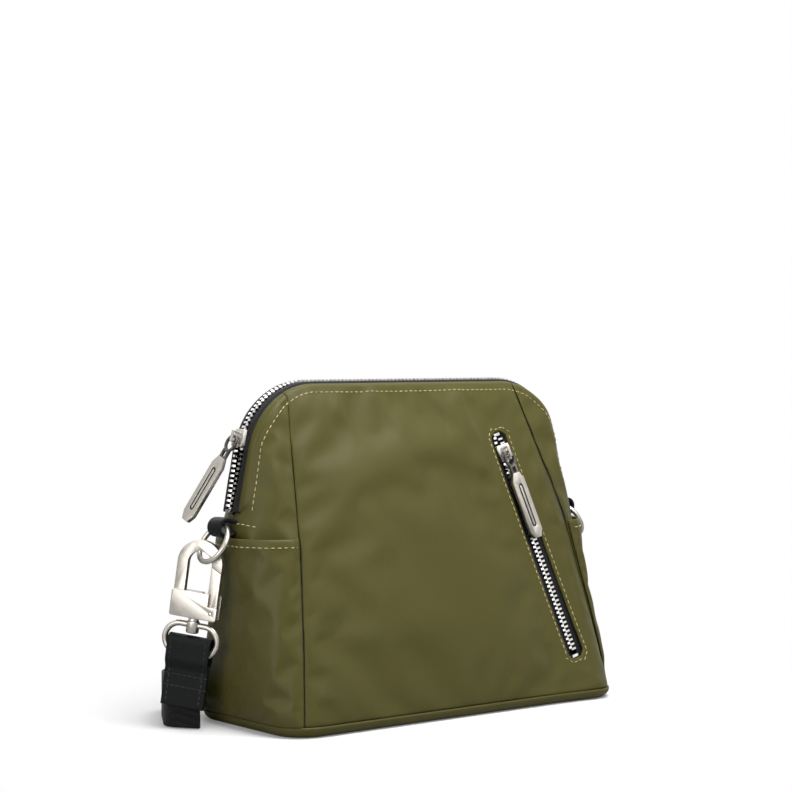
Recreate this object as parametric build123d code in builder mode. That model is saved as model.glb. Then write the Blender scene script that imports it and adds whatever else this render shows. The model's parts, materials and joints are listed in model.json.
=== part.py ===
from build123d import *
from math import atan2, ceil, cos, degrees, floor, hypot, radians, sin, sqrt
import os

# A crossbody purse: a soft dome-shaped bag with a wedge section, a metal zip over its top, a slanted
# zip pocket in its front, a slip pocket on each side, and a strap on two swivel clasps.
#
# Millimetres. X runs along the bag's width, -Y is its front and +Z is up. The origin is the middle of
# the base, on the surface that the bag stands on. Left is -X, and the right side mirrors it.

# ---- Bag ----
BAG_HEIGHT = 190.0  # crest of the zip chain
BASE_HALF_WIDTH = 119.0
BASE_HALF_DEPTH = 52.0
BASE_CORNER = 21.0
WAIST_HEIGHT = 108.0  # the widest level, just above the pocket hems
WAIST_HALF_WIDTH = 122.5
TOP_HALF_WIDTH = 107.0
TOP_HALF_DEPTH = 8.5
LOWER_EDGE = ((0.0, 4.0), (1.5, 1.5), (5.0, 0.0))  # height and inset: the rounded lower edge
FABRIC = 2.0  # padded nylon
BASE_BAND = 6.0  # the base panel turns up this far
SEAM_LOW = 112.0  # half width of the front panel at the base
SEAM_HIGH = 82.0  # and at the crest
LINING = 0.8
LINING_GAP = 0.3

# ---- Side pockets ----
HEM_HEIGHT = 102.0
POCKET_FLARE_FROM = 62.0
POCKET_FLARE = 3.2  # how far the mouth stands open
POCKET_FABRIC = 1.4
POCKET_GAP = 0.2

# ---- Main zip ----
ZIP_Y = 6.0  # the zip's plane, behind the middle of the base
ZIP_END_X = 121.5
ZIP_END_Z = 119.0
CREST_CORNER_X = 106.8  # where the side lines would meet the crest
CHAIN_RADIUS = 45.0
EDGE_DROP = 3.0  # the fabric lies this far inside the chain
MOUTH_HALF = 7.8  # half width of the gap that the zip closes
TAPE = 0.8

# ---- Zip teeth and sliders, the same on both zips ----
TOOTH_PITCH = 2.75
TOOTH_LENGTH = 1.2  # along the chain
TOOTH_BACK = 2.5  # from the chain's middle to the tape
TOOTH_TIP = 0.6  # how far a tooth reaches past the middle
TOOTH_HALF_HEIGHT = 1.5
ROW_SPREAD = 1.7  # how far each row stands off at the slider's shoulder
SLIDER_LENGTH = 10.0
SLIDER_CHANNEL = 2.0  # half height inside
SLIDER_PLATE = 1.1
CHANNEL_GAP = 0.25
LUG_HOLE = 3.6
LUG_BAR = 1.0

# ---- Pulls ----
PULL_LENGTH = 54.0
PULL_WIDTH = 9.6
PULL_NECK = 5.2
PULL_THICK = 2.5
EYE_HALF_LENGTH = 5.0
EYE_HALF_WIDTH = 4.2
EYE_BAR = 1.3
MAIN_PULL_LEAN = 22.0  # degrees out from straight down
MAIN_PULL_TWIST = 22.0  # degrees towards the back, about the bag's X axis

# ---- Front pocket zip, across and up the front panel ----
POCKET_TOP = (59.0, 164.4)
POCKET_END = (92.0, 26.4)
WINDOW_HALF = 6.0
WINDOW_CLIP = 3.0
POCKET_TAPE_HALF = 8.0
POCKET_SLIDER_AT = 13.0  # from the zip's top end
POUCH_DEPTH = 7.0
POUCH_FABRIC = 0.6

# ---- Strap attachments ----
TAB_HEIGHT = 111.0
TAB_REACH = 127.0  # the loop's middle, from the bag's middle
TAB_WIDTH = 12.0
TAB_LOOP = 3.5  # inner radius
TAB_LEATHER = 2.0
RING_RADIUS = 11.0  # to the middle of the wire
RING_WIRE = 1.5
WIRE_SIDES = 12  # a ring's round wire is drawn with this many flats
RING_LEAN = 31.0  # degrees out from straight down
CLASP_AZIMUTH = 54.0  # the clasp's face turns this far from the front
CLASP_LEAN = 8.0  # degrees, in its own plane
BOW_RADIUS = 13.0
BOW_WIRE = 6.0
BOW_THICK = 4.0
BOW_LEG = 15.5
RING_IN_BOW = 17.5  # the ring's wire, above the block
RING_SEAT = 20.0  # degrees round the ring, from its foot to where the clasp hangs
BLOCK = (27.0, 14.5, 7.0)
GATE_PIN = (10.0, -10.5)
GATE_PIN_RADIUS = 0.98
PIN_GAP = 0.06
GATE_ROUND = 3.0
SLOT_LEFT = 3.2
SLOT_GAP = 0.15
SPLIT_GAP = 0.3
POST_RADIUS = 1.95
POST_HEAD = 2.6
BARREL_RADIUS = 3.6
STRAP_RING_WIRE = 1.7
STRAP_RING_STRAIGHT = 14.0
STRAP_RING_BEND = 8.3
STRAP_WIDTH = 25.0
STRAP_THICK = 2.0
STRAP_END_LEATHER = 1.8
STRAP_END_TOP = 24.3  # below the block's top
STRAP_END_FOOT = 64.2
STRAP_LIFT = 0.5

# ---- Worked out ----
SIDE_TILT = degrees(atan2(ZIP_END_X - CREST_CORNER_X, BAG_HEIGHT - ZIP_END_Z))
FRONT_FALL = BASE_HALF_DEPTH - TOP_HALF_DEPTH + ZIP_Y
FRONT_TILT = atan2(FRONT_FALL, BAG_HEIGHT)

ZIP_PLANE = Plane(origin=(0, ZIP_Y, 0), x_dir=(1, 0, 0), z_dir=(0, -1, 0))
FRONT = Plane(
    origin=(0, -BASE_HALF_DEPTH, 0), x_dir=(1, 0, 0), z_dir=(0, -cos(FRONT_TILT), sin(FRONT_TILT))
)


os.makedirs("parts", exist_ok=True)


def write(piece, name):
    """Label one finished piece and write it."""
    piece.part.label = name
    export_step(piece.part, f"parts/{name}.step")


def write_pair(piece, stem):
    """Write a left-hand piece and its mirror image on the right."""
    write(piece, stem + "_left")
    with BuildPart() as other:
        mirror(piece.part, about=Plane.YZ)
    write(other, stem + "_right")


# ---- The bag's form ----


def half_width(height):
    """The bag's half width at a height: straight lines from base to waist to top."""
    if height <= WAIST_HEIGHT:
        return BASE_HALF_WIDTH + (WAIST_HALF_WIDTH - BASE_HALF_WIDTH) * height / WAIST_HEIGHT
    rise = (height - WAIST_HEIGHT) / (BAG_HEIGHT - WAIST_HEIGHT)
    return WAIST_HALF_WIDTH + (TOP_HALF_WIDTH - WAIST_HALF_WIDTH) * rise


def half_depth(height):
    """The bag's half depth at a height."""
    return BASE_HALF_DEPTH + (TOP_HALF_DEPTH - BASE_HALF_DEPTH) * height / BAG_HEIGHT


def corner_radius(height):
    """The plan radius of the bag's corners: nearly the half depth from the waist up."""
    full = half_depth(height) - 0.3
    if height >= WAIST_HEIGHT:
        return full
    return BASE_CORNER + (half_depth(WAIST_HEIGHT) - 0.3 - BASE_CORNER) * height / WAIST_HEIGHT


def section(height, grow, flare=0.0):
    """One level section of the bag, grown outwards by grow and widened by flare."""
    middle = ZIP_Y * height / BAG_HEIGHT
    with BuildSketch(Plane((0, middle, height))) as outline:
        RectangleRounded(
            2 * (half_width(height) + grow + flare),
            2 * (half_depth(height) + grow),
            corner_radius(height) + grow,
        )
    return outline.sketch


def side_line(height, level):
    """Where the zip's side line, level outside the chain, stands at a height."""
    tilt = radians(SIDE_TILT)
    return ZIP_END_X + level / cos(tilt) - (height - ZIP_END_Z) * sin(tilt) / cos(tilt)


def dome(level, low=-30.0):
    """The region under the zip's arch, level outside the chain, from low up. Its y is a height."""
    high = BAG_HEIGHT + level
    with BuildSketch() as region:
        with BuildLine():
            Polyline(
                (-side_line(low, level), low),
                (-side_line(high, level), high),
                (side_line(high, level), high),
                (side_line(low, level), low),
                close=True,
            )
        make_face()
        fillet(region.vertices().group_by(Axis.Y)[-1], CHAIN_RADIUS + level)
    return region.sketch


def bag_form(grow):
    """The bag's closed form, grown outwards by grow. The zip's arch trims its top."""
    with BuildPart() as arch:
        with BuildSketch(ZIP_PLANE):
            add(dome(grow - EDGE_DROP))
        extrude(amount=2 * BASE_HALF_DEPTH, both=True)
    with BuildPart() as form:
        for height, inset in LOWER_EDGE:
            add(section(height, grow - inset))
        for height in (WAIST_HEIGHT, BAG_HEIGHT):
            add(section(height, grow))
        loft(ruled=True)
        add(arch.part, mode=Mode.INTERSECT)
        if grow < 0:
            split(bisect_by=Plane.XY.offset(-grow), keep=Keep.TOP)
    return form.part


def mouth(level, half, depth):
    """The strip that the zip closes, from depth inside the fabric's edge to well outside it."""
    with BuildPart() as strip:
        with BuildSketch(ZIP_PLANE):
            add(dome(level))
            add(dome(-EDGE_DROP - depth), mode=Mode.SUBTRACT)
            with Locations((0, ZIP_END_Z - 1)):
                Rectangle(4 * ZIP_END_X, BAG_HEIGHT, align=(Align.CENTER, Align.MIN), mode=Mode.INTERSECT)
        extrude(amount=half, both=True)
    return strip.part


def panel_zone(front):
    """Everything between the two side seams, on the front or the back, above the base panel."""
    with BuildPart() as zone:
        with BuildSketch(ZIP_PLANE):
            Polygon(
                (-SEAM_LOW, BASE_BAND),
                (SEAM_LOW, BASE_BAND),
                (SEAM_HIGH, BAG_HEIGHT),
                (-SEAM_HIGH, BAG_HEIGHT),
                align=None,
            )
        extrude(amount=(2 if front else -2) * BASE_HALF_DEPTH)
    return zone.part


with BuildPart() as fabric:
    add(bag_form(0))
    add(bag_form(-FABRIC), mode=Mode.SUBTRACT)
    add(mouth(EDGE_DROP, MOUTH_HALF, 3 * FABRIC), mode=Mode.SUBTRACT)

# ---- The slanted zip's own plane: x runs down the zip from its top end, z outwards ----

pocket_start = FRONT.from_local_coords(Vector(*POCKET_TOP, 0))
pocket_stop = FRONT.from_local_coords(Vector(*POCKET_END, 0))
POCKET_LENGTH = (pocket_stop - pocket_start).length
POCKET = Plane(origin=pocket_start, x_dir=pocket_stop - pocket_start, z_dir=FRONT.z_dir)
POCKET_CHAIN = FABRIC + 0.5  # the chain's middle, under the panel's face

with BuildPart() as front_panel:
    add(fabric.part)
    add(panel_zone(front=True), mode=Mode.INTERSECT)
    with BuildSketch(POCKET) as window:
        with Locations((POCKET_LENGTH / 2, 0)):
            Rectangle(POCKET_LENGTH, 2 * WINDOW_HALF)
        chamfer(window.vertices(), WINDOW_CLIP)
    extrude(amount=3 * FABRIC, both=True, mode=Mode.SUBTRACT)
write(front_panel, "front_panel")

with BuildPart() as back_panel:
    add(fabric.part)
    add(panel_zone(front=False), mode=Mode.INTERSECT)
write(back_panel, "back_panel")

with BuildPart() as base_panel:
    add(fabric.part)
    split(bisect_by=Plane.XY.offset(BASE_BAND), keep=Keep.BOTTOM)
write(base_panel, "base_panel")

with BuildPart() as side_panel:
    add(fabric.part)
    add(panel_zone(front=True), mode=Mode.SUBTRACT)
    add(panel_zone(front=False), mode=Mode.SUBTRACT)
    split(bisect_by=Plane.XY.offset(BASE_BAND), keep=Keep.TOP)
    split(bisect_by=Plane.YZ, keep=Keep.BOTTOM)
write_pair(side_panel, "side_panel")


def pocket_form(grow):
    """The bag's sides as the slip pockets cover them, flared at the hem."""
    with BuildPart() as form:
        for height, flare in ((0.0, 0.0), (POCKET_FLARE_FROM, 0.0), (HEM_HEIGHT, POCKET_FLARE)):
            add(section(height, grow, flare))
        loft(ruled=True)
    return form.part


with BuildPart() as side_pocket:
    add(pocket_form(POCKET_GAP + POCKET_FABRIC))
    add(pocket_form(POCKET_GAP), mode=Mode.SUBTRACT)
    add(panel_zone(front=True), mode=Mode.SUBTRACT)
    add(panel_zone(front=False), mode=Mode.SUBTRACT)
    split(bisect_by=Plane.XY.offset(BASE_BAND), keep=Keep.TOP)
    split(bisect_by=Plane.YZ, keep=Keep.BOTTOM)
write_pair(side_pocket, "side_pocket")

with BuildPart() as pouch_room:
    with BuildSketch(FRONT.offset(-FABRIC - LINING_GAP / 2)):
        Polygon((5, 18), (107, 18), (78, 172), (40, 172), align=None)
    extrude(amount=-POUCH_DEPTH)

with BuildPart() as front_pocket_pouch:
    add(pouch_room.part)
    mouth_face = front_pocket_pouch.faces().sort_by(Axis(FRONT.origin, FRONT.z_dir))[-1]
    offset(amount=-POUCH_FABRIC, openings=mouth_face)
    add(bag_form(-FABRIC - LINING_GAP / 2), mode=Mode.INTERSECT)
write(front_pocket_pouch, "front_pocket_pouch")

with BuildPart() as lining:
    add(bag_form(-FABRIC - LINING_GAP))
    add(bag_form(-FABRIC - LINING_GAP - LINING), mode=Mode.SUBTRACT)
    add(mouth(EDGE_DROP, MOUTH_HALF, 5 * FABRIC), mode=Mode.SUBTRACT)
    add(pouch_room.part, mode=Mode.SUBTRACT)
write(lining, "lining")

# ---- Zip chains ----


def tooth_shape():
    """One zip tooth. Its own z runs along the chain, and x from the tape to the other row."""
    with BuildPart() as shape:
        with BuildSketch():
            Polygon(
                (-TOOTH_BACK, -TOOTH_HALF_HEIGHT + 0.2),
                (-TOOTH_TIP, -TOOTH_HALF_HEIGHT),
                (TOOTH_TIP, -TOOTH_HALF_HEIGHT + 0.6),
                (TOOTH_TIP, TOOTH_HALF_HEIGHT - 0.6),
                (-TOOTH_TIP, TOOTH_HALF_HEIGHT),
                (-TOOTH_BACK, TOOTH_HALF_HEIGHT - 0.2),
                align=None,
            )
        extrude(amount=TOOTH_LENGTH / 2, both=True)
    return shape.part


def spread(along, open_length):
    """How far a row stands off the chain's middle: a V from the stop up to the slider's shoulder,
    which closes again inside the slider."""
    if along <= open_length:
        return ROW_SPREAD * along / open_length
    return max(0.0, ROW_SPREAD * (1 - (along - open_length) / SLIDER_LENGTH))


def row(seats):
    """A row of teeth, one on each plane."""
    tooth = tooth_shape()
    with BuildPart() as teeth:
        with Locations(*[plane.location for plane in seats]):
            add(tooth)
    return teeth


with BuildLine(ZIP_PLANE) as chain:
    FilletPolyline(
        (-ZIP_END_X, ZIP_END_Z),
        (-CREST_CORNER_X, BAG_HEIGHT),
        (CREST_CORNER_X, BAG_HEIGHT),
        (ZIP_END_X, ZIP_END_Z),
        radius=CHAIN_RADIUS,
    )
chain_wire = chain.wire()
MAIN_OPEN = chain.edges().sort_by(Axis.X)[0].length  # the open stretch is the left straight one


def chain_seat(along, toward_back):
    """The plane of one tooth of the main zip, with x from its tape to the other row."""
    point = chain_wire.position_at(along, position_mode=PositionMode.LENGTH)
    tangent = chain_wire.tangent_at(along, position_mode=PositionMode.LENGTH)
    inward = -1 if toward_back else 1
    point = point + Vector(0, -inward * spread(along, MAIN_OPEN), 0)
    return Plane(origin=point, x_dir=(0, inward, 0), z_dir=tangent)


def tooth_marks(first, last):
    """Where the teeth of the front row stand along a chain. The other row lies half a pitch on."""
    count = floor((last - first) / TOOTH_PITCH)
    return [first + number * TOOTH_PITCH for number in range(count)]


main_marks = tooth_marks(2.2, chain_wire.length - 2.0)
main_teeth_front = row([chain_seat(mark, False) for mark in main_marks])
write(main_teeth_front, "main_zip_teeth_front")
main_teeth_back = row([chain_seat(mark + TOOTH_PITCH / 2, True) for mark in main_marks])
write(main_teeth_back, "main_zip_teeth_back")


def v_cut(plane, open_length, height):
    """The wedge between two tapes that the open rows take up."""
    back = TOOTH_BACK + 0.15
    with BuildPart() as wedge:
        with BuildSketch(plane):
            Polygon(
                (0, -back),
                (open_length, -back - ROW_SPREAD),
                (open_length + SLIDER_LENGTH, -back),
                (open_length + SLIDER_LENGTH, back),
                (open_length, back + ROW_SPREAD),
                (0, back),
                align=None,
            )
        extrude(amount=height, both=True)
    return wedge.part


with BuildPart() as main_zip_tape_front:
    start_tangent = chain_wire.tangent_at(0)
    with BuildSketch(Plane(origin=chain_wire.position_at(0), x_dir=(0, 1, 0), z_dir=start_tangent)):
        Polygon(
            (-TOOTH_BACK, TAPE / 2),
            (-5.6, TAPE / 2),
            (-MOUTH_HALF, -EDGE_DROP - 0.2),
            (-MOUTH_HALF, -EDGE_DROP - 0.2 - TAPE),
            (-5.4, -TAPE / 2),
            (-TOOTH_BACK, -TAPE / 2),
            align=None,
        )
    sweep(path=chain_wire)
    open_plane = Plane(
        origin=chain_wire.position_at(0), x_dir=start_tangent, z_dir=start_tangent.cross(Vector(0, 1, 0))
    )
    add(v_cut(open_plane, MAIN_OPEN, 3 * TAPE), mode=Mode.SUBTRACT)
write(main_zip_tape_front, "main_zip_tape_front")

with BuildPart() as main_zip_tape_back:
    mirror(main_zip_tape_front.part, about=ZIP_PLANE)
write(main_zip_tape_back, "main_zip_tape_back")

with BuildPart() as main_zip_stops:
    for place in (0.0, 1.0):
        tangent = chain_wire.tangent_at(place)
        end = chain_wire.position_at(place) + tangent * (0.5 if place == 0 else -0.5)
        with BuildSketch(Plane(origin=end, x_dir=(0, 1, 0), z_dir=tangent)):
            Rectangle(2 * TOOTH_BACK - 0.4, 2 * TOOTH_HALF_HEIGHT)
        extrude(amount=0.8, both=True)
write(main_zip_stops, "main_zip_stops")

POCKET_OPEN = POCKET_SLIDER_AT - SLIDER_LENGTH / 2
POCKET_MIDDLE = POCKET.offset(-POCKET_CHAIN)


def pocket_seat(along, upper):
    """The plane of one tooth of the pocket zip."""
    across = 1 if upper else -1
    point = Vector(along, across * spread(along, POCKET_OPEN), 0)
    return Plane(
        origin=POCKET_MIDDLE.from_local_coords(point),
        x_dir=POCKET.y_dir * -across,
        z_dir=POCKET.x_dir,
    )


pocket_marks = tooth_marks(3.1, POCKET_LENGTH - 2.8)
with BuildPart() as pocket_zip_teeth:
    tooth = tooth_shape()
    seats = [pocket_seat(mark, False) for mark in pocket_marks]
    seats += [pocket_seat(mark + TOOTH_PITCH / 2, True) for mark in pocket_marks]
    with Locations(*[plane.location for plane in seats]):
        add(tooth)
write(pocket_zip_teeth, "pocket_zip_teeth")

with BuildPart() as pocket_zip_tapes:
    with BuildSketch(POCKET_MIDDLE.offset(-TAPE / 2)):
        with Locations((POCKET_LENGTH / 2, 0)):
            Rectangle(POCKET_LENGTH + 6, 2 * POCKET_TAPE_HALF)
            Rectangle(POCKET_LENGTH + 8, 2 * TOOTH_BACK, mode=Mode.SUBTRACT)
    extrude(amount=TAPE)
    add(v_cut(POCKET_MIDDLE, POCKET_OPEN, TAPE), mode=Mode.SUBTRACT)
write(pocket_zip_tapes, "pocket_zip_tapes")

with BuildPart() as pocket_zip_stops:
    with BuildSketch(POCKET_MIDDLE.offset(-TOOTH_HALF_HEIGHT)):
        with Locations((1.3, 0), (POCKET_LENGTH - 1.3, 0)):
            Rectangle(1.6, 2 * TOOTH_BACK - 0.4)
    extrude(amount=2 * TOOTH_HALF_HEIGHT)
write(pocket_zip_stops, "pocket_zip_stops")

# ---- Sliders: x runs from the shoulder, where the rows part, to the neck ----


def slider(middle):
    """A zip slider round the chain: two plates with turned-in flanges, joined by the wedge between
    the rows, and a lug on its face for the pull. middle is the chain's own plane at its centre."""
    half = SLIDER_LENGTH / 2
    shoulder = TOOTH_BACK + ROW_SPREAD + CHANNEL_GAP
    neck = TOOTH_BACK + CHANNEL_GAP
    with BuildSketch() as outline:
        with BuildLine():
            edge = Polyline(
                (-half, 0),
                (-half, shoulder),
                (-half * 0.6, shoulder + 0.9),
                (half * 0.3, neck + 1.7),
                (half, neck + 1.1),
                (half, 0),
            )
            mirror(edge, about=Plane.XZ)
        make_face()
    with BuildPart() as body:
        for side in (1, -1):
            with BuildSketch(middle.offset(side * SLIDER_CHANNEL)):
                add(outline.sketch)
            extrude(amount=side * SLIDER_PLATE)
            with BuildSketch(middle.offset(side * SLIDER_CHANNEL)):
                add(outline.sketch)
                Polygon(
                    (-half, -shoulder),
                    (half, -neck),
                    (half, neck),
                    (-half, shoulder),
                    align=None,
                    mode=Mode.SUBTRACT,
                )
            extrude(amount=-side * (SLIDER_CHANNEL - TAPE))
        with BuildSketch(middle.offset(-SLIDER_CHANNEL)):
            Polygon(
                (-half, -0.85), (-half * 0.3, -0.25), (-half * 0.3, 0.25), (-half, 0.85), align=None
            )
        extrude(amount=2 * SLIDER_CHANNEL)
        lug_foot = SLIDER_CHANNEL + SLIDER_PLATE
        side_view = Plane(origin=middle.origin, x_dir=middle.x_dir, z_dir=-middle.y_dir)
        with BuildSketch(side_view):
            with Locations((0, lug_foot)):
                Rectangle(6.6, LUG_HOLE + LUG_BAR, align=(Align.CENTER, Align.MIN))
                Rectangle(4.4, LUG_HOLE, align=(Align.CENTER, Align.MIN), mode=Mode.SUBTRACT)
        extrude(amount=0.9, both=True)
    return body


def pull(hinge):
    """A zip pull. hinge is its eye's plane, with x along the pull and y along the hinge."""
    plate_from = 13.5
    plate_length = PULL_LENGTH - plate_from
    with BuildPart() as body:
        with BuildSketch(hinge.offset(-0.75)) as eye:
            with Locations((EYE_HALF_LENGTH - EYE_BAR / 2, 0)):
                Ellipse(EYE_HALF_LENGTH, EYE_HALF_WIDTH)
                Ellipse(EYE_HALF_LENGTH - EYE_BAR, EYE_HALF_WIDTH - EYE_BAR, mode=Mode.SUBTRACT)
        extrude(amount=1.5)
        with BuildSketch(hinge.offset(-0.9)):
            with Locations((11.3, 0)):
                Rectangle(5.4, PULL_NECK)
                Rectangle(3.0, 2.4, mode=Mode.SUBTRACT)
        extrude(amount=1.8)
        with BuildSketch(hinge.offset(-PULL_THICK / 2)):
            with BuildLine():
                edge = Polyline(
                    (plate_from, 0),
                    (plate_from, PULL_NECK / 2),
                    (plate_from + 5.0, PULL_WIDTH / 2),
                    (PULL_LENGTH - 4.5, PULL_WIDTH / 2),
                    (PULL_LENGTH, PULL_WIDTH / 4),
                    (PULL_LENGTH, 0),
                )
                mirror(edge, about=Plane.XZ)
            make_face()
        extrude(amount=PULL_THICK)
        for face in (1, -1):
            with BuildSketch(hinge.offset(face * PULL_THICK / 2)):
                with Locations((plate_from + plate_length / 2, 0)):
                    SlotOverall(27.0, 3.4)
                    SlotOverall(24.6, 1.4, mode=Mode.SUBTRACT)
            extrude(amount=-face * 0.8, mode=Mode.SUBTRACT)
    return body


LUG_AXIS = SLIDER_CHANNEL + SLIDER_PLATE + LUG_HOLE / 2 + 0.2

main_at = MAIN_OPEN + SLIDER_LENGTH / 2
main_point = chain_wire.position_at(main_at, position_mode=PositionMode.LENGTH)
main_tangent = chain_wire.tangent_at(main_at, position_mode=PositionMode.LENGTH)
MAIN_SLIDER = Plane(origin=main_point, x_dir=main_tangent, z_dir=main_tangent.cross(Vector(0, 1, 0)))
write(slider(MAIN_SLIDER), "main_zip_slider")

main_pull_axis = MAIN_SLIDER.from_local_coords(Vector(0, 0, LUG_AXIS))
pull_down = Vector(-sin(radians(MAIN_PULL_LEAN)), 0, -cos(radians(MAIN_PULL_LEAN)))
MAIN_PULL = Plane(origin=main_pull_axis, x_dir=pull_down, z_dir=pull_down.cross(Vector(0, -1, 0)))
write(pull(MAIN_PULL.rotated((MAIN_PULL_TWIST, 0, 0))), "main_zip_pull")

POCKET_SLIDER = Plane(
    origin=POCKET_MIDDLE.from_local_coords(Vector(POCKET_SLIDER_AT, 0, 0)),
    x_dir=POCKET.x_dir,
    z_dir=POCKET.z_dir,
)
write(slider(POCKET_SLIDER), "pocket_zip_slider")
write(pull(POCKET_SLIDER.offset(LUG_AXIS)), "pocket_zip_pull")

# ---- Tab and ring ----

tab_middle = Vector(-TAB_REACH, ZIP_Y, TAB_HEIGHT)
with BuildPart() as tab:
    with BuildSketch(ZIP_PLANE):
        with Locations((-TAB_REACH, TAB_HEIGHT)):
            Circle(TAB_LOOP + TAB_LEATHER)
            Rectangle(20, 2 * (TAB_LOOP + TAB_LEATHER), align=(Align.MIN, Align.CENTER))
            Circle(TAB_LOOP, mode=Mode.SUBTRACT)
            Rectangle(2, 2 * TAB_LOOP, align=(Align.MIN, Align.CENTER), mode=Mode.SUBTRACT)
    extrude(amount=TAB_WIDTH / 2, both=True)
    add(bag_form(0), mode=Mode.SUBTRACT)
write_pair(tab, "strap_tab")

ring_hang = Vector(-sin(radians(RING_LEAN)), 0, -cos(radians(RING_LEAN)))
ring_sag = RING_RADIUS - sqrt(RING_RADIUS**2 - (TAB_WIDTH / 2) ** 2)
ring_middle = tab_middle + ring_hang * (RING_RADIUS - ring_sag / 2)
with BuildPart() as ring:
    with BuildSketch(Plane(origin=ring_middle, x_dir=ring_hang, z_dir=(0, 1, 0))):
        with Locations((RING_RADIUS, 0)):
            RegularPolygon(RING_WIRE, WIRE_SIDES)
    revolve(axis=Axis(ring_middle, ring_hang.cross(Vector(0, 1, 0))))
write_pair(ring, "side_ring")

# ---- Clasp: x across it, y up its length, z out of its face ----

face_turn = radians(CLASP_AZIMUTH)
face_out = Vector(-sin(face_turn), -cos(face_turn), 0)
level_across = Vector(cos(face_turn), -sin(face_turn), 0)
lean = radians(CLASP_LEAN)
across = level_across * cos(lean) - Vector(0, 0, sin(lean))
clasp_up = level_across * sin(lean) + Vector(0, 0, cos(lean))
seat_turn = radians(RING_SEAT)
ring_seat = ring_middle + (ring_hang * cos(seat_turn) + Vector(0, 1, 0) * sin(seat_turn)) * RING_RADIUS
CLASP = Plane(origin=ring_seat - clasp_up * RING_IN_BOW, x_dir=across, z_dir=face_out)
CLASP_SIDE = Plane(origin=CLASP.origin, x_dir=face_out, z_dir=-across)

split_left = (BOW_RADIUS - BOW_WIRE, BOW_LEG - 0.5)
split_right = (BOW_RADIUS, BOW_LEG - 3.7)

with BuildPart() as clasp_body:
    with BuildSketch(CLASP):
        Rectangle(2 * BOW_RADIUS, BOW_LEG, align=(Align.CENTER, Align.MIN))
        with Locations((0, BOW_LEG)):
            Circle(BOW_RADIUS)
            Circle(BOW_RADIUS - BOW_WIRE, mode=Mode.SUBTRACT)
        inner = 2 * (BOW_RADIUS - BOW_WIRE)
        Rectangle(inner, BOW_LEG, align=(Align.CENTER, Align.MIN), mode=Mode.SUBTRACT)
        Polygon(
            (split_left[0] - 0.1, -1),
            (split_right[0] + 1, -1),
            (split_right[0] + 1, split_right[1] + SPLIT_GAP - 0.5),
            (split_left[0] - 0.1, split_left[1] + SPLIT_GAP),
            align=None,
            mode=Mode.SUBTRACT,
        )
    extrude(amount=BOW_THICK / 2, both=True)
    with BuildSketch(CLASP):
        with Locations((0, -BLOCK[1] / 2)):
            RectangleRounded(BLOCK[0], BLOCK[1], 1.4)
    extrude(amount=BLOCK[2] / 2, both=True)
    slot_half = BOW_THICK / 2 + SLOT_GAP
    with BuildSketch(CLASP):
        with Locations((SLOT_LEFT, 0.5)):
            Rectangle(
                BLOCK[0],
                0.5 - GATE_PIN[1] + GATE_ROUND + SLOT_GAP,
                align=(Align.MIN, Align.MAX),
            )
    extrude(amount=slot_half, both=True, mode=Mode.SUBTRACT)
    with BuildSketch(CLASP.offset(slot_half)):
        with Locations((8.0, 0.5)):
            Rectangle(BLOCK[0], 7.5, align=(Align.MIN, Align.MAX))
    extrude(amount=BLOCK[2], mode=Mode.SUBTRACT)
    with BuildSketch(CLASP):
        with Locations(GATE_PIN):
            Circle(GATE_PIN_RADIUS + 0.02)
    extrude(amount=BLOCK[2], both=True, mode=Mode.SUBTRACT)
    with BuildSketch(CLASP_SIDE):
        Polygon(
            (0, -10.5),
            (POST_HEAD + 0.15, -10.5),
            (POST_HEAD + 0.15, -12.45),
            (POST_RADIUS + 0.05, -12.45),
            (POST_RADIUS + 0.05, -BLOCK[1] - 1),
            (0, -BLOCK[1] - 1),
            align=None,
        )
    revolve(axis=Axis(CLASP.origin, clasp_up), mode=Mode.SUBTRACT)
write_pair(clasp_body, "clasp_body")

with BuildPart() as clasp_gate:
    with BuildSketch(CLASP):
        Polygon(
            (split_left[0], GATE_PIN[1]),
            (split_right[0], GATE_PIN[1]),
            split_right,
            split_left,
            align=None,
        )
        with Locations(GATE_PIN):
            Circle(GATE_ROUND)
            Circle(GATE_PIN_RADIUS + PIN_GAP, mode=Mode.SUBTRACT)
    extrude(amount=BOW_THICK / 2, both=True)
    with BuildSketch(CLASP.offset(-BOW_THICK / 2)):
        with Locations(GATE_PIN):
            Circle(2.0)
    extrude(amount=1.6, mode=Mode.SUBTRACT)
write_pair(clasp_gate, "clasp_gate")

with BuildPart() as gate_spring:
    with BuildSketch(CLASP.offset(-BOW_THICK / 2)):
        with Locations(GATE_PIN):
            Circle(1.8)
            Circle(1.25, mode=Mode.SUBTRACT)
    extrude(amount=1.4)
write_pair(gate_spring, "gate_spring")

with BuildPart() as gate_pin:
    with BuildSketch(CLASP):
        with Locations(GATE_PIN):
            Circle(GATE_PIN_RADIUS)
    extrude(amount=BLOCK[2] / 2, both=True)
write_pair(gate_pin, "gate_pin")

# ---- Swivel, strap ring and strap end ----

strap_ring_top = -BLOCK[1] - 4.0
strap_ring_middle = strap_ring_top - STRAP_RING_BEND
strap_ring_foot = strap_ring_middle - STRAP_RING_BEND

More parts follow.
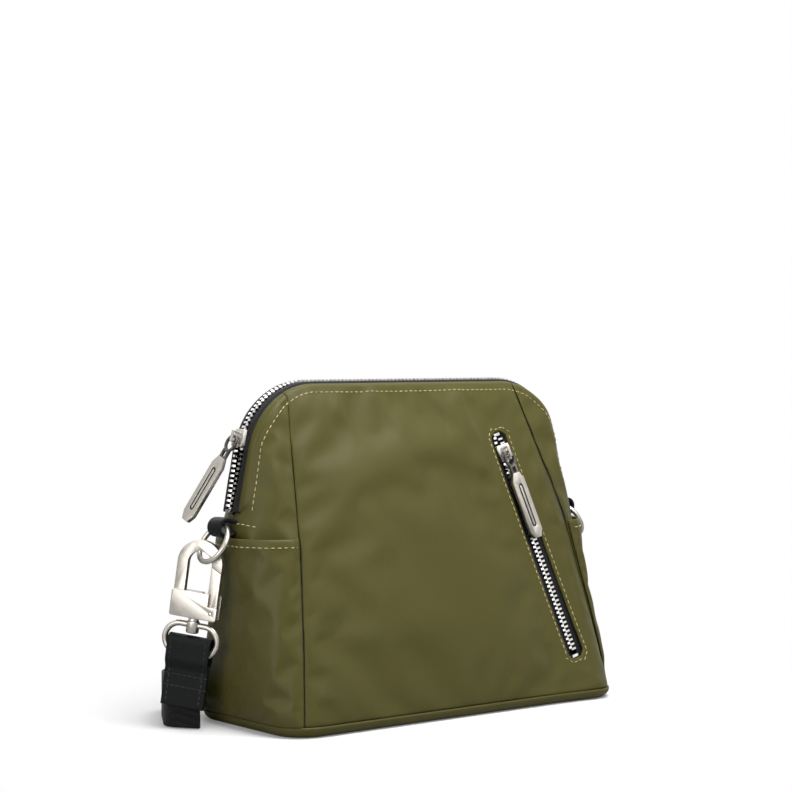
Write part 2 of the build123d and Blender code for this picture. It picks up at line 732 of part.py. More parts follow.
with BuildPart() as swivel:
    with BuildSketch(CLASP_SIDE):
        Polygon(
            (0, -10.7),
            (POST_HEAD, -10.7),
            (POST_HEAD, -12.3),
            (POST_RADIUS, -12.3),
            (POST_RADIUS, -BLOCK[1] - 0.3),
            (BARREL_RADIUS - 0.7, -BLOCK[1] - 0.3),
            (BARREL_RADIUS - 0.7, -BLOCK[1] - 1.6),
            (BARREL_RADIUS, -BLOCK[1] - 2.2),
            (BARREL_RADIUS, -BLOCK[1] - 7.8),
            (BARREL_RADIUS - 0.5, -BLOCK[1] - 8.4),
            (0, -BLOCK[1] - 8.4),
            align=None,
        )
    revolve(axis=Axis(CLASP.origin, clasp_up))
    with BuildSketch(CLASP_SIDE):
        with Locations((0, strap_ring_top)):
            Circle(STRAP_RING_WIRE + 0.05)
    extrude(amount=2 * BARREL_RADIUS, both=True, mode=Mode.SUBTRACT)
write_pair(swivel, "swivel_post")

with BuildPart() as strap_ring:
    half = STRAP_RING_STRAIGHT / 2
    with BuildLine(CLASP) as loop:
        Line((-half, strap_ring_top), (half, strap_ring_top))
        CenterArc((half, strap_ring_middle), STRAP_RING_BEND, -90, 180)
        Line((half, strap_ring_foot), (-half, strap_ring_foot))
        CenterArc((-half, strap_ring_middle), STRAP_RING_BEND, 90, 180)
    with BuildSketch(Plane(origin=CLASP.from_local_coords(Vector(-half, strap_ring_top, 0)), z_dir=across)):
        RegularPolygon(STRAP_RING_WIRE, WIRE_SIDES)
    sweep(path=loop.wire())
write_pair(strap_ring, "strap_ring")

loop_inner = STRAP_RING_WIRE + 0.4
loop_outer = loop_inner + STRAP_END_LEATHER
loop_middle = -STRAP_END_TOP - loop_outer
loop_from = -38.0
sewn_from = -43.5
with BuildPart() as strap_end:
    with BuildSketch(CLASP_SIDE):
        with Locations((0, loop_middle)):
            Circle(loop_outer)
        Polygon(
            (-loop_outer, loop_middle),
            (-loop_outer, loop_from),
            (-STRAP_END_LEATHER, sewn_from),
            (-STRAP_END_LEATHER, -STRAP_END_FOOT),
            (STRAP_END_LEATHER, -STRAP_END_FOOT),
            (STRAP_END_LEATHER, sewn_from),
            (loop_outer, loop_from),
            (loop_outer, loop_middle),
            align=None,
        )
        with Locations((0, loop_middle)):
            Circle(loop_inner, mode=Mode.SUBTRACT)
        Polygon(
            (-loop_inner, loop_middle),
            (-loop_inner, loop_from),
            (0, sewn_from + 0.5),
            (loop_inner, loop_from),
            (loop_inner, loop_middle),
            align=None,
            mode=Mode.SUBTRACT,
        )
    extrude(amount=STRAP_WIDTH / 2, both=True)
write_pair(strap_end, "strap_end")

# ---- Strap: it stands on its edge, in folds behind the bag ----

foot = CLASP.origin - clasp_up * STRAP_END_FOOT
behind = foot - face_out * (STRAP_END_LEATHER + 0.3 + STRAP_THICK / 2)
sewn = behind + level_across * 9.0
turn = behind - level_across * 11.0
STRAP_ROUTE = [
    (sewn.X, sewn.Y),
    (turn.X, turn.Y),
    (turn.X + (74.0 - turn.Y) * 0.577, 74.0),
    (84.0, 74.0),
    (84.0, 87.0),
    (-72.0, 87.0),
    (-72.0, 100.0),
    (84.0, 100.0),
    (84.0, 113.0),
    (-60.0, 113.0),
    (-60.0, 126.0),
    (-turn.X - (126.0 - turn.Y) * 0.577, 126.0),
    (-turn.X, turn.Y),
    (-sewn.X, sewn.Y),
]
STRAP_BENDS = [12.0, 25.0, 6.4, 6.4, 6.4, 6.4, 6.4, 6.4, 6.4, 6.4, 25.0, 12.0]

with BuildPart() as strap:
    with BuildSketch(Plane.XY.offset(STRAP_LIFT)):
        with BuildLine() as route:
            FilletPolyline(*STRAP_ROUTE, radius=STRAP_BENDS)
        trace(line_width=STRAP_THICK)
    extrude(amount=STRAP_WIDTH)
write(strap, "strap")
print("strap between its ends", round(route.wire().length), "mm, bend radii", STRAP_BENDS)
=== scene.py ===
# %% [markdown]
# # A crossbody purse
# The real bag is olive nylon over thin padding, sewn from seven panels, with an arched metal zip
# over its top, a slanted zip pocket in its front and a slip pocket on each side. A strap hooks on
# with two swivel clasps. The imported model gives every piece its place. The hard pieces keep their
# shape and get softened edges, and each soft piece is modelled again as cloth or leather.

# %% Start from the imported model
import json
from math import asin, atan2, ceil, copysign, cos, exp, hypot, pi, radians, sin, sqrt

import bmesh
import bpy
from mathutils import Matrix, Vector, noise
from mathutils.bvhtree import BVHTree

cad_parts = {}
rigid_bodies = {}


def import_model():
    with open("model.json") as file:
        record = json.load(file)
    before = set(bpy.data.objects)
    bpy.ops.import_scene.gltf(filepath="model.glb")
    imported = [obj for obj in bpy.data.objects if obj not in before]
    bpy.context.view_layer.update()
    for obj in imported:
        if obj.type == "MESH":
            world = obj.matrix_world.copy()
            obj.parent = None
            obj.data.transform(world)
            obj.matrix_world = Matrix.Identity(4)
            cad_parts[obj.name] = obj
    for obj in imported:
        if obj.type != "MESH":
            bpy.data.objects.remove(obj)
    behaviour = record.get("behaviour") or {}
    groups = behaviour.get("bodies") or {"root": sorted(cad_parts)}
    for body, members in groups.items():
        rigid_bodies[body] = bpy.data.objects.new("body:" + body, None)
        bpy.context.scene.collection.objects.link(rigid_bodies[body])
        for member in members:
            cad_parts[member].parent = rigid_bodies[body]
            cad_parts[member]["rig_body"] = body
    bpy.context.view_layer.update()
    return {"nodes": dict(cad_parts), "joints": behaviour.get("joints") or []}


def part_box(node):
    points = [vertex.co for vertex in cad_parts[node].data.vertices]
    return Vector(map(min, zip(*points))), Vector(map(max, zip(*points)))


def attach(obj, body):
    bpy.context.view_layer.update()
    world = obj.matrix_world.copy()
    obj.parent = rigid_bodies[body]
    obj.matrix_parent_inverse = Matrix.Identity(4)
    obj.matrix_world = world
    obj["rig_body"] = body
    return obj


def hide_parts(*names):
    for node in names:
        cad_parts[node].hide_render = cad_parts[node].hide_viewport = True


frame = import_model()
MM = 0.001
SIDES = (("left", -1), ("right", 1))
nodes = frame["nodes"]
joints = {joint["name"]: joint for joint in frame["joints"]}

# %% Helpers for objects and shader nodes


def add_object(name, data):
    """A new object in the scene."""
    piece = bpy.data.objects.new(name, data)
    bpy.context.collection.objects.link(piece)
    return piece


def look_at(piece, place, target):
    """Put a camera or a lamp at a place, looking at the target."""
    piece.location = place
    piece.rotation_euler = (Vector(target) - piece.location).to_track_quat("-Z", "Y").to_euler()


def feed(node, values):
    """Set each of these inputs of a node to a plain value, or link another node's output to it."""
    for socket, value in values.items():
        if isinstance(value, bpy.types.NodeSocket):
            node.id_data.links.new(value, node.inputs[socket])
        else:
            node.inputs[socket].default_value = value


def new_node(tree, kind, values=(), **settings):
    """The outputs of a new shader node, after its settings and its inputs are filled in."""
    node = tree.nodes.new("ShaderNode" + kind)
    for setting, value in settings.items():
        setattr(node, setting, value)
    feed(node, dict(values))
    return node.outputs


def math(tree, operation, first, second=0.0, third=0.0):
    """One maths node. Each value is a number or another node's output."""
    return new_node(tree, "Math", {0: first, 1: second, 2: third}, operation=operation)[0]


def blend_shaders(tree, share, first, second):
    """The first shader where the share is 0, and the second where it is 1."""
    return new_node(tree, "MixShader", {0: share, 1: first, 2: second})[0]


# %% [markdown]
# ## Camera, floor and light
# A long lens far away keeps the bag's sides nearly parallel, as a product picture has them. Large
# soft lamps suit satin cloth, because small ones would leave hard spots on it. The floor and the
# world look white to the camera and to metal, but light the bag at a plain level.

# %% Camera
camera = add_object("camera", bpy.data.cameras.new("camera"))
camera.data.lens = 95.5
camera.data.sensor_width = 36.0
camera.data.clip_start = 0.01
look_at(camera, (-0.767, -0.952, 0.209), (-0.0048, 0.006, 0.1812))
bpy.context.scene.camera = camera
bpy.context.scene.view_settings.view_transform = "Standard"

# %% Lamps


def lamp(name, place, size, power, aim=(0, 0, 0.09)):
    """A square soft lamp that faces the bag."""
    data = bpy.data.lights.new(name, "AREA")
    data.size = size
    data.energy = power
    look_at(add_object(name, data), place, aim)


lamp("top lamp", (0.0, -0.22, 0.64), 0.5, 7.4)
lamp("front lamp", (0.45, -1.2, 0.75), 0.9, 3.0)
lamp("side lamp", (-1.2, -0.4, 0.3), 0.9, 8.6, (0, 0, 0.06))
lamp("back lamp", (0.2, 1.2, 1.0), 1.0, 7.0)

# %% World: white to the camera and in reflections, and dim to everything it lights
ROOM_LIGHT = 0.16
world = bpy.data.worlds.new("studio")
bpy.context.scene.world = world
world.use_nodes = True
tree = world.node_tree
tree.nodes.clear()
dim = new_node(tree, "Background", {"Color": (0.95, 0.97, 1.0, 1), "Strength": ROOM_LIGHT})[0]
white = new_node(tree, "Background", {"Color": (1, 1, 1, 1), "Strength": 1.0})[0]
rays = new_node(tree, "LightPath")
shown = math(tree, "MAXIMUM", rays["Is Camera Ray"], rays["Is Glossy Ray"])
new_node(tree, "OutputWorld", {"Surface": blend_shaders(tree, shown, dim, white)})

# %% Floor
FLOOR_TONE, FLOOR_BOUNCE = 0.66, 0.42  # as the camera sees it, and as it throws light back
FLOOR_LIFT = 0.16
FLOOR_FADE = {"From Min": 0.15, "From Max": 0.3}  # metres from the bag's middle


def floor_material():
    """Grey matte paper that throws little light back up. The camera sees it pale, with the bag's
    shadow, and plain white further out."""
    material = bpy.data.materials.new("pale floor")
    material.use_nodes = True
    tree = material.node_tree
    grey = tree.nodes["Principled BSDF"]
    matte = {"Roughness": 0.9, "Specular IOR Level": 0.1}
    feed(grey, {"Base Color": (FLOOR_BOUNCE, FLOOR_BOUNCE, FLOOR_BOUNCE, 1), **matte})
    pale = new_node(tree, "BsdfPrincipled", {"Base Color": (FLOOR_TONE, FLOOR_TONE, FLOOR_TONE, 1), **matte})
    lift = new_node(tree, "Emission", {"Strength": FLOOR_LIFT})
    near = new_node(tree, "AddShader", {0: pale[0], 1: lift[0]})
    far = new_node(tree, "Emission")
    length = new_node(tree, "VectorMath", {0: new_node(tree, "TexCoord")["Object"]}, operation="LENGTH")
    fade = new_node(
        tree, "MapRange", {"Value": length["Value"], **FLOOR_FADE}, interpolation_type="SMOOTHSTEP"
    )
    seen = blend_shaders(tree, fade[0], near[0], far[0])
    to_camera = new_node(tree, "LightPath")["Is Camera Ray"]
    both = blend_shaders(tree, to_camera, grey.outputs[0], seen)
    feed(tree.nodes["Material Output"], {"Surface": both})
    return material


bm = bmesh.new()
bmesh.ops.create_grid(bm, x_segments=1, y_segments=1, size=6.0)
floor = add_object("floor", bpy.data.meshes.new("floor"))
bm.to_mesh(floor.data)
bm.free()
floor.data.materials.append(floor_material())

# %% [markdown]
# ## Finishes
# Five effects are shared: a woven face, soft patches of tone, leather grain, worn metal and ribbed
# tape. Each is a node group that puts out a height or a mask, and a material blends it in at its
# own strength. Cloth reads its own UV map, laid out in metres, so its threads run along the panel.

# %% Helpers for node groups


def new_group(name, outputs, **inputs):
    """A node group that reads a place and some numbers. It comes with what it is given and with
    its end node, which takes what it puts out."""
    group = bpy.data.node_groups.new(name, "ShaderNodeTree")
    group.interface.new_socket("Place", in_out="INPUT", socket_type="NodeSocketVector")
    for label, default in inputs.items():
        socket = group.interface.new_socket(label, in_out="INPUT", socket_type="NodeSocketFloat")
        socket.default_value = default
    for label in outputs:
        group.interface.new_socket(label, in_out="OUTPUT", socket_type="NodeSocketFloat")
    return group, group.nodes.new("NodeGroupInput").outputs, group.nodes.new("NodeGroupOutput")


def scaled(tree, vector, factors):
    """A vector times three factors."""
    return new_node(tree, "VectorMath", {0: vector, 1: factors}, operation="MULTIPLY")[0]


def noise_at(tree, vector, scale, detail=3.0, rough=0.5):
    """Smooth noise, about 0 to 1."""
    values = {"Vector": vector, "Scale": scale, "Detail": detail, "Roughness": rough}
    return new_node(tree, "TexNoise", values)[0]


def wave(tree, value, count):
    """A sine wave along a value."""
    return math(tree, "SINE", math(tree, "MULTIPLY", value, count))


# %% Woven face: fine crossing threads
weave_group, given, end = new_group("woven face", ["Height"], Threads=2500.0)
x, y, _ = new_node(weave_group, "SeparateXYZ", {0: given["Place"]})
across, along = (wave(weave_group, value, given["Threads"]) for value in (x, y))
crossing = math(weave_group, "MULTIPLY", across, along)
feed(end, {"Height": math(weave_group, "MULTIPLY_ADD", crossing, 0.5, 0.5)})

# %% Soft patches: a large tone and a small crumple
patch_group, given, end = new_group("soft patches", ["Tone", "Crumple"])
stretched = scaled(patch_group, given["Place"], (1.0, 1.0, 0.55))
feed(end, {
    "Tone": noise_at(patch_group, given["Place"], 14.0, 2.0),
    "Crumple": noise_at(patch_group, stretched, 95.0, 4.0, 0.55),
})

# %% Leather grain: small pebbles with fine creases
grain_group, given, end = new_group("leather grain", ["Height"], Size=1400.0)
cells = new_node(
    grain_group, "TexVoronoi", {"Vector": given["Place"], "Scale": given["Size"]}, feature="SMOOTH_F1"
)
fine = noise_at(grain_group, given["Place"], 900.0)
feed(end, {"Height": math(grain_group, "MULTIPLY_ADD", fine, 0.4, cells["Distance"])})

# %% Worn metal: brushed lines, cloudy plating and scuffs
metal_group, given, end = new_group("worn metal", ["Brush", "Cloud", "Scuff"])
drawn, crossed = (scaled(metal_group, given["Place"], factors) for factors in ((1, 1, 0.06), (1, 0.3, 1)))
scratches = noise_at(metal_group, crossed, 700.0, 5.0, 0.7)
feed(end, {
    "Brush": noise_at(metal_group, drawn, 2200.0, 2.0),
    "Cloud": noise_at(metal_group, given["Place"], 220.0),
    "Scuff": math(metal_group, "GREATER_THAN", scratches, 0.66),
})

# %% Ribbed tape: rows across the zip tape
rib_group, given, end = new_group("ribbed tape", ["Height"], Ribs=4500.0)
x, y, _ = new_node(rib_group, "SeparateXYZ", {0: given["Place"]})
slant = math(rib_group, "MULTIPLY_ADD", y, 0.35, x)
rows, cords = wave(rib_group, slant, given["Ribs"]), wave(rib_group, y, 6300.0)
ribs = math(rib_group, "MAXIMUM", rows, cords)
feed(end, {"Height": math(rib_group, "MULTIPLY_ADD", ribs, 0.5, 0.5)})

# %% Helpers for materials


def new_material(name, color, roughness, specular=0.5, metallic=0.0):
    """A material whose even values sit on the shader's own sockets. It comes with its shader."""
    material = bpy.data.materials.new(name)
    material.use_nodes = True
    shader = material.node_tree.nodes["Principled BSDF"]
    feed(shader, {
        "Base Color": (*color, 1),
        "Roughness": roughness,
        "Metallic": metallic,
        "Specular IOR Level": specular,
    })
    return material, shader


def object_place(shader):
    return new_node(shader.id_data, "TexCoord")["Object"]


def cloth_place(shader):
    return new_node(shader.id_data, "UVMap")["UV"]


def use_group(shader, group, place, **values):
    """A node group placed in a shader's material, reading the given coordinates."""
    return new_node(shader.id_data, "Group", {"Place": place, **values}, node_tree=group)


def blend_color(shader, mask, low, high):
    """Base Color from low to high as the mask goes from 0 to 1."""
    values = {"Factor": mask, "A": (*low, 1), "B": (*high, 1)}
    feed(shader, {"Base Color": new_node(shader.id_data, "Mix", values, data_type="RGBA")["Result"]})


def blend_roughness(shader, mask, low, high):
    """Roughness from low to high as the mask goes from 0 to 1."""
    values = {"Value": mask, "To Min": low, "To Max": high}
    feed(shader, {"Roughness": new_node(shader.id_data, "MapRange", values)[0]})


def bump(shader, *layers):
    """Heights laid over each other, each with its own depth in metres."""
    normal = {}
    for height, depth in layers:
        values = {"Height": height, "Distance": depth, **normal}
        normal = {"Normal": new_node(shader.id_data, "Bump", values)["Normal"]}
    feed(shader, normal)


def contrast(shader, value, low=0.3, high=0.7):
    """The value stretched so that low becomes 0 and high becomes 1."""
    values = {"Value": value, "From Min": low, "From Max": high}
    return new_node(shader.id_data, "MapRange", values)[0]


# %% Olive nylon
olive, shader = new_material("olive nylon", (0.06, 0.0545, 0.013), 0.42, 0.14)
feed(shader, {"Sheen Weight": 0.03, "Sheen Roughness": 0.35, "Sheen Tint": (0.8, 0.8, 0.55, 1)})
patches = use_group(shader, patch_group, object_place(shader))
threads = use_group(shader, weave_group, cloth_place(shader), Threads=4200.0)
tone = contrast(shader, patches["Tone"])
blend_color(shader, tone, (0.057, 0.0515, 0.0122), (0.0645, 0.0582, 0.0145))
blend_roughness(shader, tone, 0.46, 0.38)
bump(shader, (patches["Crumple"], 0.00022), (threads["Height"], 0.00004))

# %% Lining cloth and thread
lining_cloth, shader = new_material("lining cloth", (0.09, 0.085, 0.075), 0.7)
bump(shader, (use_group(shader, patch_group, object_place(shader))["Crumple"], 0.0008))


def new_thread(name, color, roughness, sheen):
    """Twisted thread."""
    material, shader = new_material(name, color, roughness)
    feed(shader, {"Sheen Weight": sheen})
    bump(shader, (use_group(shader, weave_group, object_place(shader), Threads=9000.0)["Height"], 0.00005))
    return material


tan_thread = new_thread("tan thread", (0.42, 0.34, 0.15), 0.55, 0.3)
black_thread = new_thread("black thread", (0.012, 0.012, 0.013), 0.5, 0.0)

# %% Zip tape and webbing


def new_tape(name, color, roughness, specular, sheen, ribs, depth, low, high):
    """Black woven tape with ribs across it."""
    material, shader = new_material(name, color, roughness, specular)
    feed(shader, sheen)
    height = use_group(shader, rib_group, cloth_place(shader), Ribs=ribs)["Height"]
    bump(shader, (height, depth))
    blend_color(shader, height, low, high)
    return material


zip_cloth = new_tape(
    "black zip tape", (0.006, 0.006, 0.007), 0.62, 0.1, {"Sheen Weight": 0.04, "Sheen Roughness": 0.4},
    5200.0, 0.00018, (0.004, 0.004, 0.0045), (0.011, 0.011, 0.012),
)
webbing = new_tape(
    "black webbing", (0.005, 0.005, 0.0055), 0.6, 0.06, {"Sheen Weight": 0.05},
    4200.0, 0.00025, (0.005, 0.005, 0.0055), (0.013, 0.013, 0.014),
)

# %% Black leather
leather, shader = new_material("black leather", (0.0045, 0.005, 0.0052), 0.45, 0.1)
grain = use_group(shader, grain_group, object_place(shader), Size=1500.0)
patches = use_group(shader, patch_group, object_place(shader))
blend_color(shader, contrast(shader, patches["Tone"]), (0.0038, 0.0043, 0.0045), (0.0065, 0.0072, 0.0075))
blend_roughness(shader, grain["Height"], 0.38, 0.6)
bump(shader, (grain["Height"], 0.00016), (patches["Crumple"], 0.0002))

# %% Satin nickel, a darker nickel that paints shade into its recesses, and the brighter metal of the zip teeth


def new_metal(name, color, roughness, metallic, low, high, spread=(0.3, 0.7)):
    """Plated metal in two cloudy tones. It comes with its shader and the wear that it reads."""
    material, shader = new_material(name, color, roughness, metallic=metallic)
    wear = use_group(shader, metal_group, object_place(shader))
    blend_color(shader, contrast(shader, wear["Cloud"], *spread), low, high)
    return material, shader, wear


nickel, shader, wear = new_metal(
    "satin nickel", (0.47, 0.44, 0.395), 0.26, 1.0, (0.41, 0.385, 0.345), (0.475, 0.446, 0.403)
)
blend_roughness(shader, contrast(shader, wear["Cloud"]), 0.33, 0.41)
bump(shader, (wear["Brush"], 0.00001), (wear["Scuff"], 0.000004))

# Painted shade: the floor and walls of each pull's slot get this dark nickel in place of the shade that falls
# there.
recess_shade_nickel = new_metal(
    "nickel with painted recess shade", (0.1, 0.094, 0.085), 0.5, 0.8, (0.06, 0.056, 0.05), (0.13, 0.122, 0.11)
)[0]

bright_metal, shader, wear = new_metal(
    "bright zip metal", (0.75, 0.74, 0.72), 0.18, 1.0, (0.68, 0.67, 0.65), (0.85, 0.84, 0.82), (0.35, 0.65)
)
blend_roughness(shader, contrast(shader, wear["Cloud"]), 0.14, 0.26)

# %% Helpers for pieces


def finish_piece(name, bm, material, body, slot, *stands_for):
    """Make a bmesh an object that rides on a body, in its place of a CAD node."""
    mesh = bpy.data.meshes.new(name)
    bm.to_mesh(mesh)
    bm.free()
    piece = add_object(name, mesh)
    mesh.materials.append(material)
    mesh.shade_smooth()
    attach(piece, body)
    if stands_for:
        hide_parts(*stands_for)
    return piece


def from_cad(node, angle):
    """A CAD node's mesh with its flat faces made whole."""
    bm = bmesh.new()
    bm.from_mesh(nodes[node].data)
    bmesh.ops.remove_doubles(bm, verts=bm.verts, dist=0.000005)
    bmesh.ops.dissolve_limit(bm, angle_limit=radians(angle), verts=bm.verts, edges=bm.edges)
    return bm


def lay_out(bm, columns, rows, where):
    """A grid of faces, with each corner put where the function says. where takes a column and a row
    and gives a point and the cloth's own flat place, in metres."""
    bmesh.ops.create_grid(bm, x_segments=columns, y_segments=rows, size=0.5)
    flat = {}
    for corner in bm.verts:
        column = round((corner.co.x + 0.5) * columns)
        row = round((corner.co.y + 0.5) * rows)
        corner.co, flat[corner] = where(column, row)
    uv = bm.loops.layers.uv.new("UVMap")
    for face in bm.faces:
        for loop in face.loops:
            loop[uv].uv = flat[loop.vert]


def add_mesh(bm, part):
    """Put another bmesh into this one."""
    mesh = bpy.data.meshes.new("part")
    part.to_mesh(mesh)
    part.free()
    bm.from_mesh(mesh)


def add_wall(piece, thickness, offset=-1):
    """Give a sheet its thickness, inwards unless the offset says otherwise."""
    wall = piece.modifiers.new("wall", "SOLIDIFY")
    wall.thickness = thickness
    wall.offset = offset


def ease_edges(piece, width, angle=50, even=False):
    """Round the edges that turn by more than an angle in degrees."""
    ease = piece.modifiers.new("eased edges", "BEVEL")
    ease.width = width
    ease.segments = 2
    ease.limit_method = "ANGLE"
    ease.angle_limit = radians(angle)
    ease.harden_normals = even


def repaint(material, *names):
    """Give a material to CAD nodes that keep their own mesh."""
    for node in names:
        nodes[node].data.materials.clear()
        nodes[node].data.materials.append(material)


# %% [markdown]
# ## Hard pieces
# Sliders, pulls, clasps, rings and swivels are cast or bent metal with slightly rounded edges, which
# catch the light. Their imported shape is right, so each gets a copy with its edges eased by a bevel.
# The zip teeth keep their own mesh, because at their size an eased edge wouldn't show.
# The slot in each pull's broad faces is painted with a darker nickel, as shade.

# %% Ease the edges of the metal pieces
SUNK = 0.3 * MM  # how far under a pull's broad face the floor of its slot at least is


def recess_faces(bm):
    """The floor and walls of the slot in a pull's two broad faces."""
    broad = max(bm.faces, key=lambda face: face.calc_area())
    out = broad.normal.copy()
    depths = [corner.co.dot(out) for corner in bm.verts]
    middle, half = (max(depths) + min(depths)) / 2, (max(depths) - min(depths)) / 2
    floors = {
        face for face in bm.faces
        if abs(face.normal.dot(out)) > 0.99
        and abs(face.calc_center_median().dot(out) - middle) < half - SUNK
    }
    walls = {other for face in floors for edge in face.edges for other in edge.link_faces}
    return floors | walls


def soften(node, width, angle=30):
    """A copy of a hard CAD piece with its edges eased, in its place, and a pull's slot painted darker as
    shade.
    """
    bm = from_cad(node, 2)
    painted_shade_faces = recess_faces(bm) if "pull" in node else []
    for face in painted_shade_faces:
        face.material_index = 1
    piece = finish_piece(f"{node}_eased", bm, nickel, nodes[node]["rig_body"], "nickel", node)
    if painted_shade_faces:
        piece.data.materials.append(recess_shade_nickel)
    ease_edges(piece, width, angle, even=True)


CLASP_PIECES = {
    "clasp_body": 0.0004,
    "clasp_gate": 0.0003,
    "gate_pin": 0.0002,
    "swivel_post": 0.0002,
    "side_ring": 0.00005,
    "strap_ring": 0.00005,
}
for name, _ in SIDES:
    for node, width in CLASP_PIECES.items():
        soften(f"{node}_{name}", width, 40)
for node, width in (("pull", 0.00035), ("slider", 0.00025)):
    for zip_name in ("main_zip", "pocket_zip"):
        soften(f"{zip_name}_{node}", width)
repaint(bright_metal, "main_zip_teeth_front", "main_zip_teeth_back", "main_zip_stops", "pocket_zip_teeth",
        "pocket_zip_stops", "gate_spring_left", "gate_spring_right")
repaint(lining_cloth, "lining", "front_pocket_pouch")

# %% [markdown]
# ## The bag's form
# The panels lie on one form: level sections that are rounded rectangles, narrow from front to back
# at the crest and deep at the base, trimmed by the zip's arch. A point on it is found from its
# height and from how far it is round the section from the middle of the front or back.

# %% Sizes of the form, in millimetres
HEIGHT = 190.0
BASE = (119.0, 52.0, 21.0)  # half width, half depth and corner radius
WAIST = (108.0, 122.5)  # height and half width
CREST = (107.0, 8.5)  # half width and half depth
ZIP_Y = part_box("main_zip_stops")[0].y / MM + 2.3
ZIP_END = (121.5, 119.0)  # half width and height
ARCH_MEET, ARCH_R = 106.8, 45.0  # where the zip's side and top lines would meet, and its corner's radius
TILT = atan2(ZIP_END[0] - ARCH_MEET, HEIGHT - ZIP_END[1])
CORNER = (ARCH_MEET - ARCH_R * (1 - sin(TILT)) / cos(TILT), HEIGHT - ARCH_R)  # the corner's middle
CORNER_FROM = CORNER[1] + ARCH_R * sin(TILT)  # the height where it starts
PART_AT = 116.0  # the zip's slot starts above this height
DROP = 3.0  # from the chain down to the foot of the cloth's hem
SEAM_LEVELS = (6.0, 104.0, 190.0)
SEAMS = {  # half width of the front (-1) and back (1) panels at those levels, on the left (-1) and right (1)
    (-1, -1): (109.4, 96.3, 89.5),
    (1, -1): (118.4, 105.0, 77.0),
    (-1, 1): (113.0, 101.0, 84.0),
    (1, 1): (113.0, 101.0, 84.0),
}
BAND = 6.0  # the base panel's upturned edge
SLUMP, SLUMP_TOP, SLUMP_WIDE = 5.0, 95.0, 26.0  # how the right front corner sags outwards, low down
INSIDE = Vector((0, ZIP_Y / 2, 80)) * MM

# %% The form's sections and edges


def lerp(a, b, t):
    return a + (b - a) * t


def section(z):
    """Half width, half depth, corner radius and middle of the level section at height z."""
    if z <= WAIST[0]:
        half = lerp(BASE[0], WAIST[1], z / WAIST[0])
    else:
        half = lerp(WAIST[1], CREST[0], (z - WAIST[0]) / (HEIGHT - WAIST[0]))
    depth = lerp(BASE[1], CREST[1], z / HEIGHT)
    waist_radius = lerp(BASE[1], CREST[1], WAIST[0] / HEIGHT) - 0.3
    radius = depth - 0.3 if z >= WAIST[0] else lerp(BASE[2], waist_radius, z / WAIST[0])
    return half, depth, radius, ZIP_Y * z / HEIGHT


def arch_x(z):
    """How far out the hem's foot is at height z on the arch."""
    if z < CORNER_FROM:
        return ZIP_END[0] - DROP / cos(TILT) - (z - ZIP_END[1]) * sin(TILT) / cos(TILT)
    rise = min(z - CORNER[1], ARCH_R - DROP)
    return CORNER[0] + sqrt((ARCH_R - DROP) ** 2 - rise**2)


def arch_z(x):
    """The height of the hem's foot over a place across the bag."""
    if abs(x) <= CORNER[0]:
        return HEIGHT - DROP
    return CORNER[1] + sqrt(max(0.0, (ARCH_R - DROP) ** 2 - (abs(x) - CORNER[0]) ** 2))


def arch_out(x, z):
    """The direction straight out of the arch at a point on it."""
    if abs(x) <= CORNER[0]:
        return 0.0, 1.0
    if z < CORNER_FROM:
        return copysign(cos(TILT), x), sin(TILT)
    away = Vector((abs(x) - CORNER[0], z - CORNER[1])).normalized()
    return copysign(away.x, x), away.y


def past_arch(point):
    """How far a point, in metres, is outside the hem's foot, in millimetres."""
    x, z = abs(point.x) / MM, point.z / MM
    if x <= CORNER[0]:
        return z - (HEIGHT - DROP)
    if z < CORNER_FROM:
        return (x - arch_x(z)) * cos(TILT)
    return hypot(x - CORNER[0], z - CORNER[1]) - (ARCH_R - DROP)


def seam_x(z, side, front):
    """How far across the bag a seam is at height z."""
    low, knee, high = SEAMS[side, front]
    foot, bend, top = SEAM_LEVELS
    if z < bend:
        return lerp(low, knee, (z - foot) / (bend - foot))
    return lerp(knee, high, (z - bend) / (top - bend))


def seam_top(side, front):
    """The height at which a seam meets the zip's arch."""
    level = HEIGHT - DROP
    for _ in range(12):
        level = arch_z(seam_x(level, side, front))
    return level


def round_to(z, x):
    """How far round the section from its middle to where it is x across."""
    half, _, radius, _ = section(z)
    flat = half - radius
    if abs(x) <= flat:
        return abs(x)
    return flat + radius * asin(min(1.0, (abs(x) - flat) / radius))


def nose(z):
    """How far round the section from its middle to the middle of the bag's side."""
    half, depth, radius, _ = section(z)
    return half - radius + radius * pi / 2 + depth - radius


def on_form(z, around, side=1, front=-1, out=0.0):
    """A point on the form, in millimetres, out from it by out."""
    half, depth, radius, middle = section(z)
    flat = half - radius
    around = abs(around)
    if around <= flat:
        x, y, nx, ny = around, depth, 0.0, 1.0
    else:
        turn = min((around - flat) / radius, pi / 2)
        past = max(0.0, around - flat - radius * pi / 2)
        x, y = flat + radius * sin(turn), depth - radius + radius * cos(turn) - past
        nx, ny = sin(turn), cos(turn)
    x, y = x + nx * out, y + ny * out
    if side > 0 and front < 0 and z < SLUMP_TOP:
        off_corner = (around - flat - radius * pi / 4) / SLUMP_WIDE
        slump = SLUMP * (1 - z / SLUMP_TOP) ** 1.5 * exp(-off_corner * off_corner)
        x, y = x + slump * 0.72, y + slump * 0.69
    return Vector((side * x, middle + front * y, z))


print("arch at the seam", round(arch_z(84), 1), "side line at 150", round(arch_x(150), 1))

# %% [markdown]
# ## Cloth
# A padded panel bellies out between its seams and is drawn in along them. Cloth simulation gives the
# belly and the slack folds: the panel is pinned along its edges, a little larger than the space it
# fills, and blown from inside. The front one is also held flat round the pocket zip.

# %% Blow a panel up against its pins
CLOTH_FRAMES = 18
HELD_FLAT = 9 * MM  # how near the pocket zip the front panel is held flat
CLOTH = {
    "quality": 6,
    "mass": 0.15,
    "tension_stiffness": 25,
    "compression_stiffness": 25,
    "shear_stiffness": 12,
    "bending_stiffness": 20,
    "air_damping": 4,
    "vertex_group_mass": "held",
    "use_pressure": True,
}


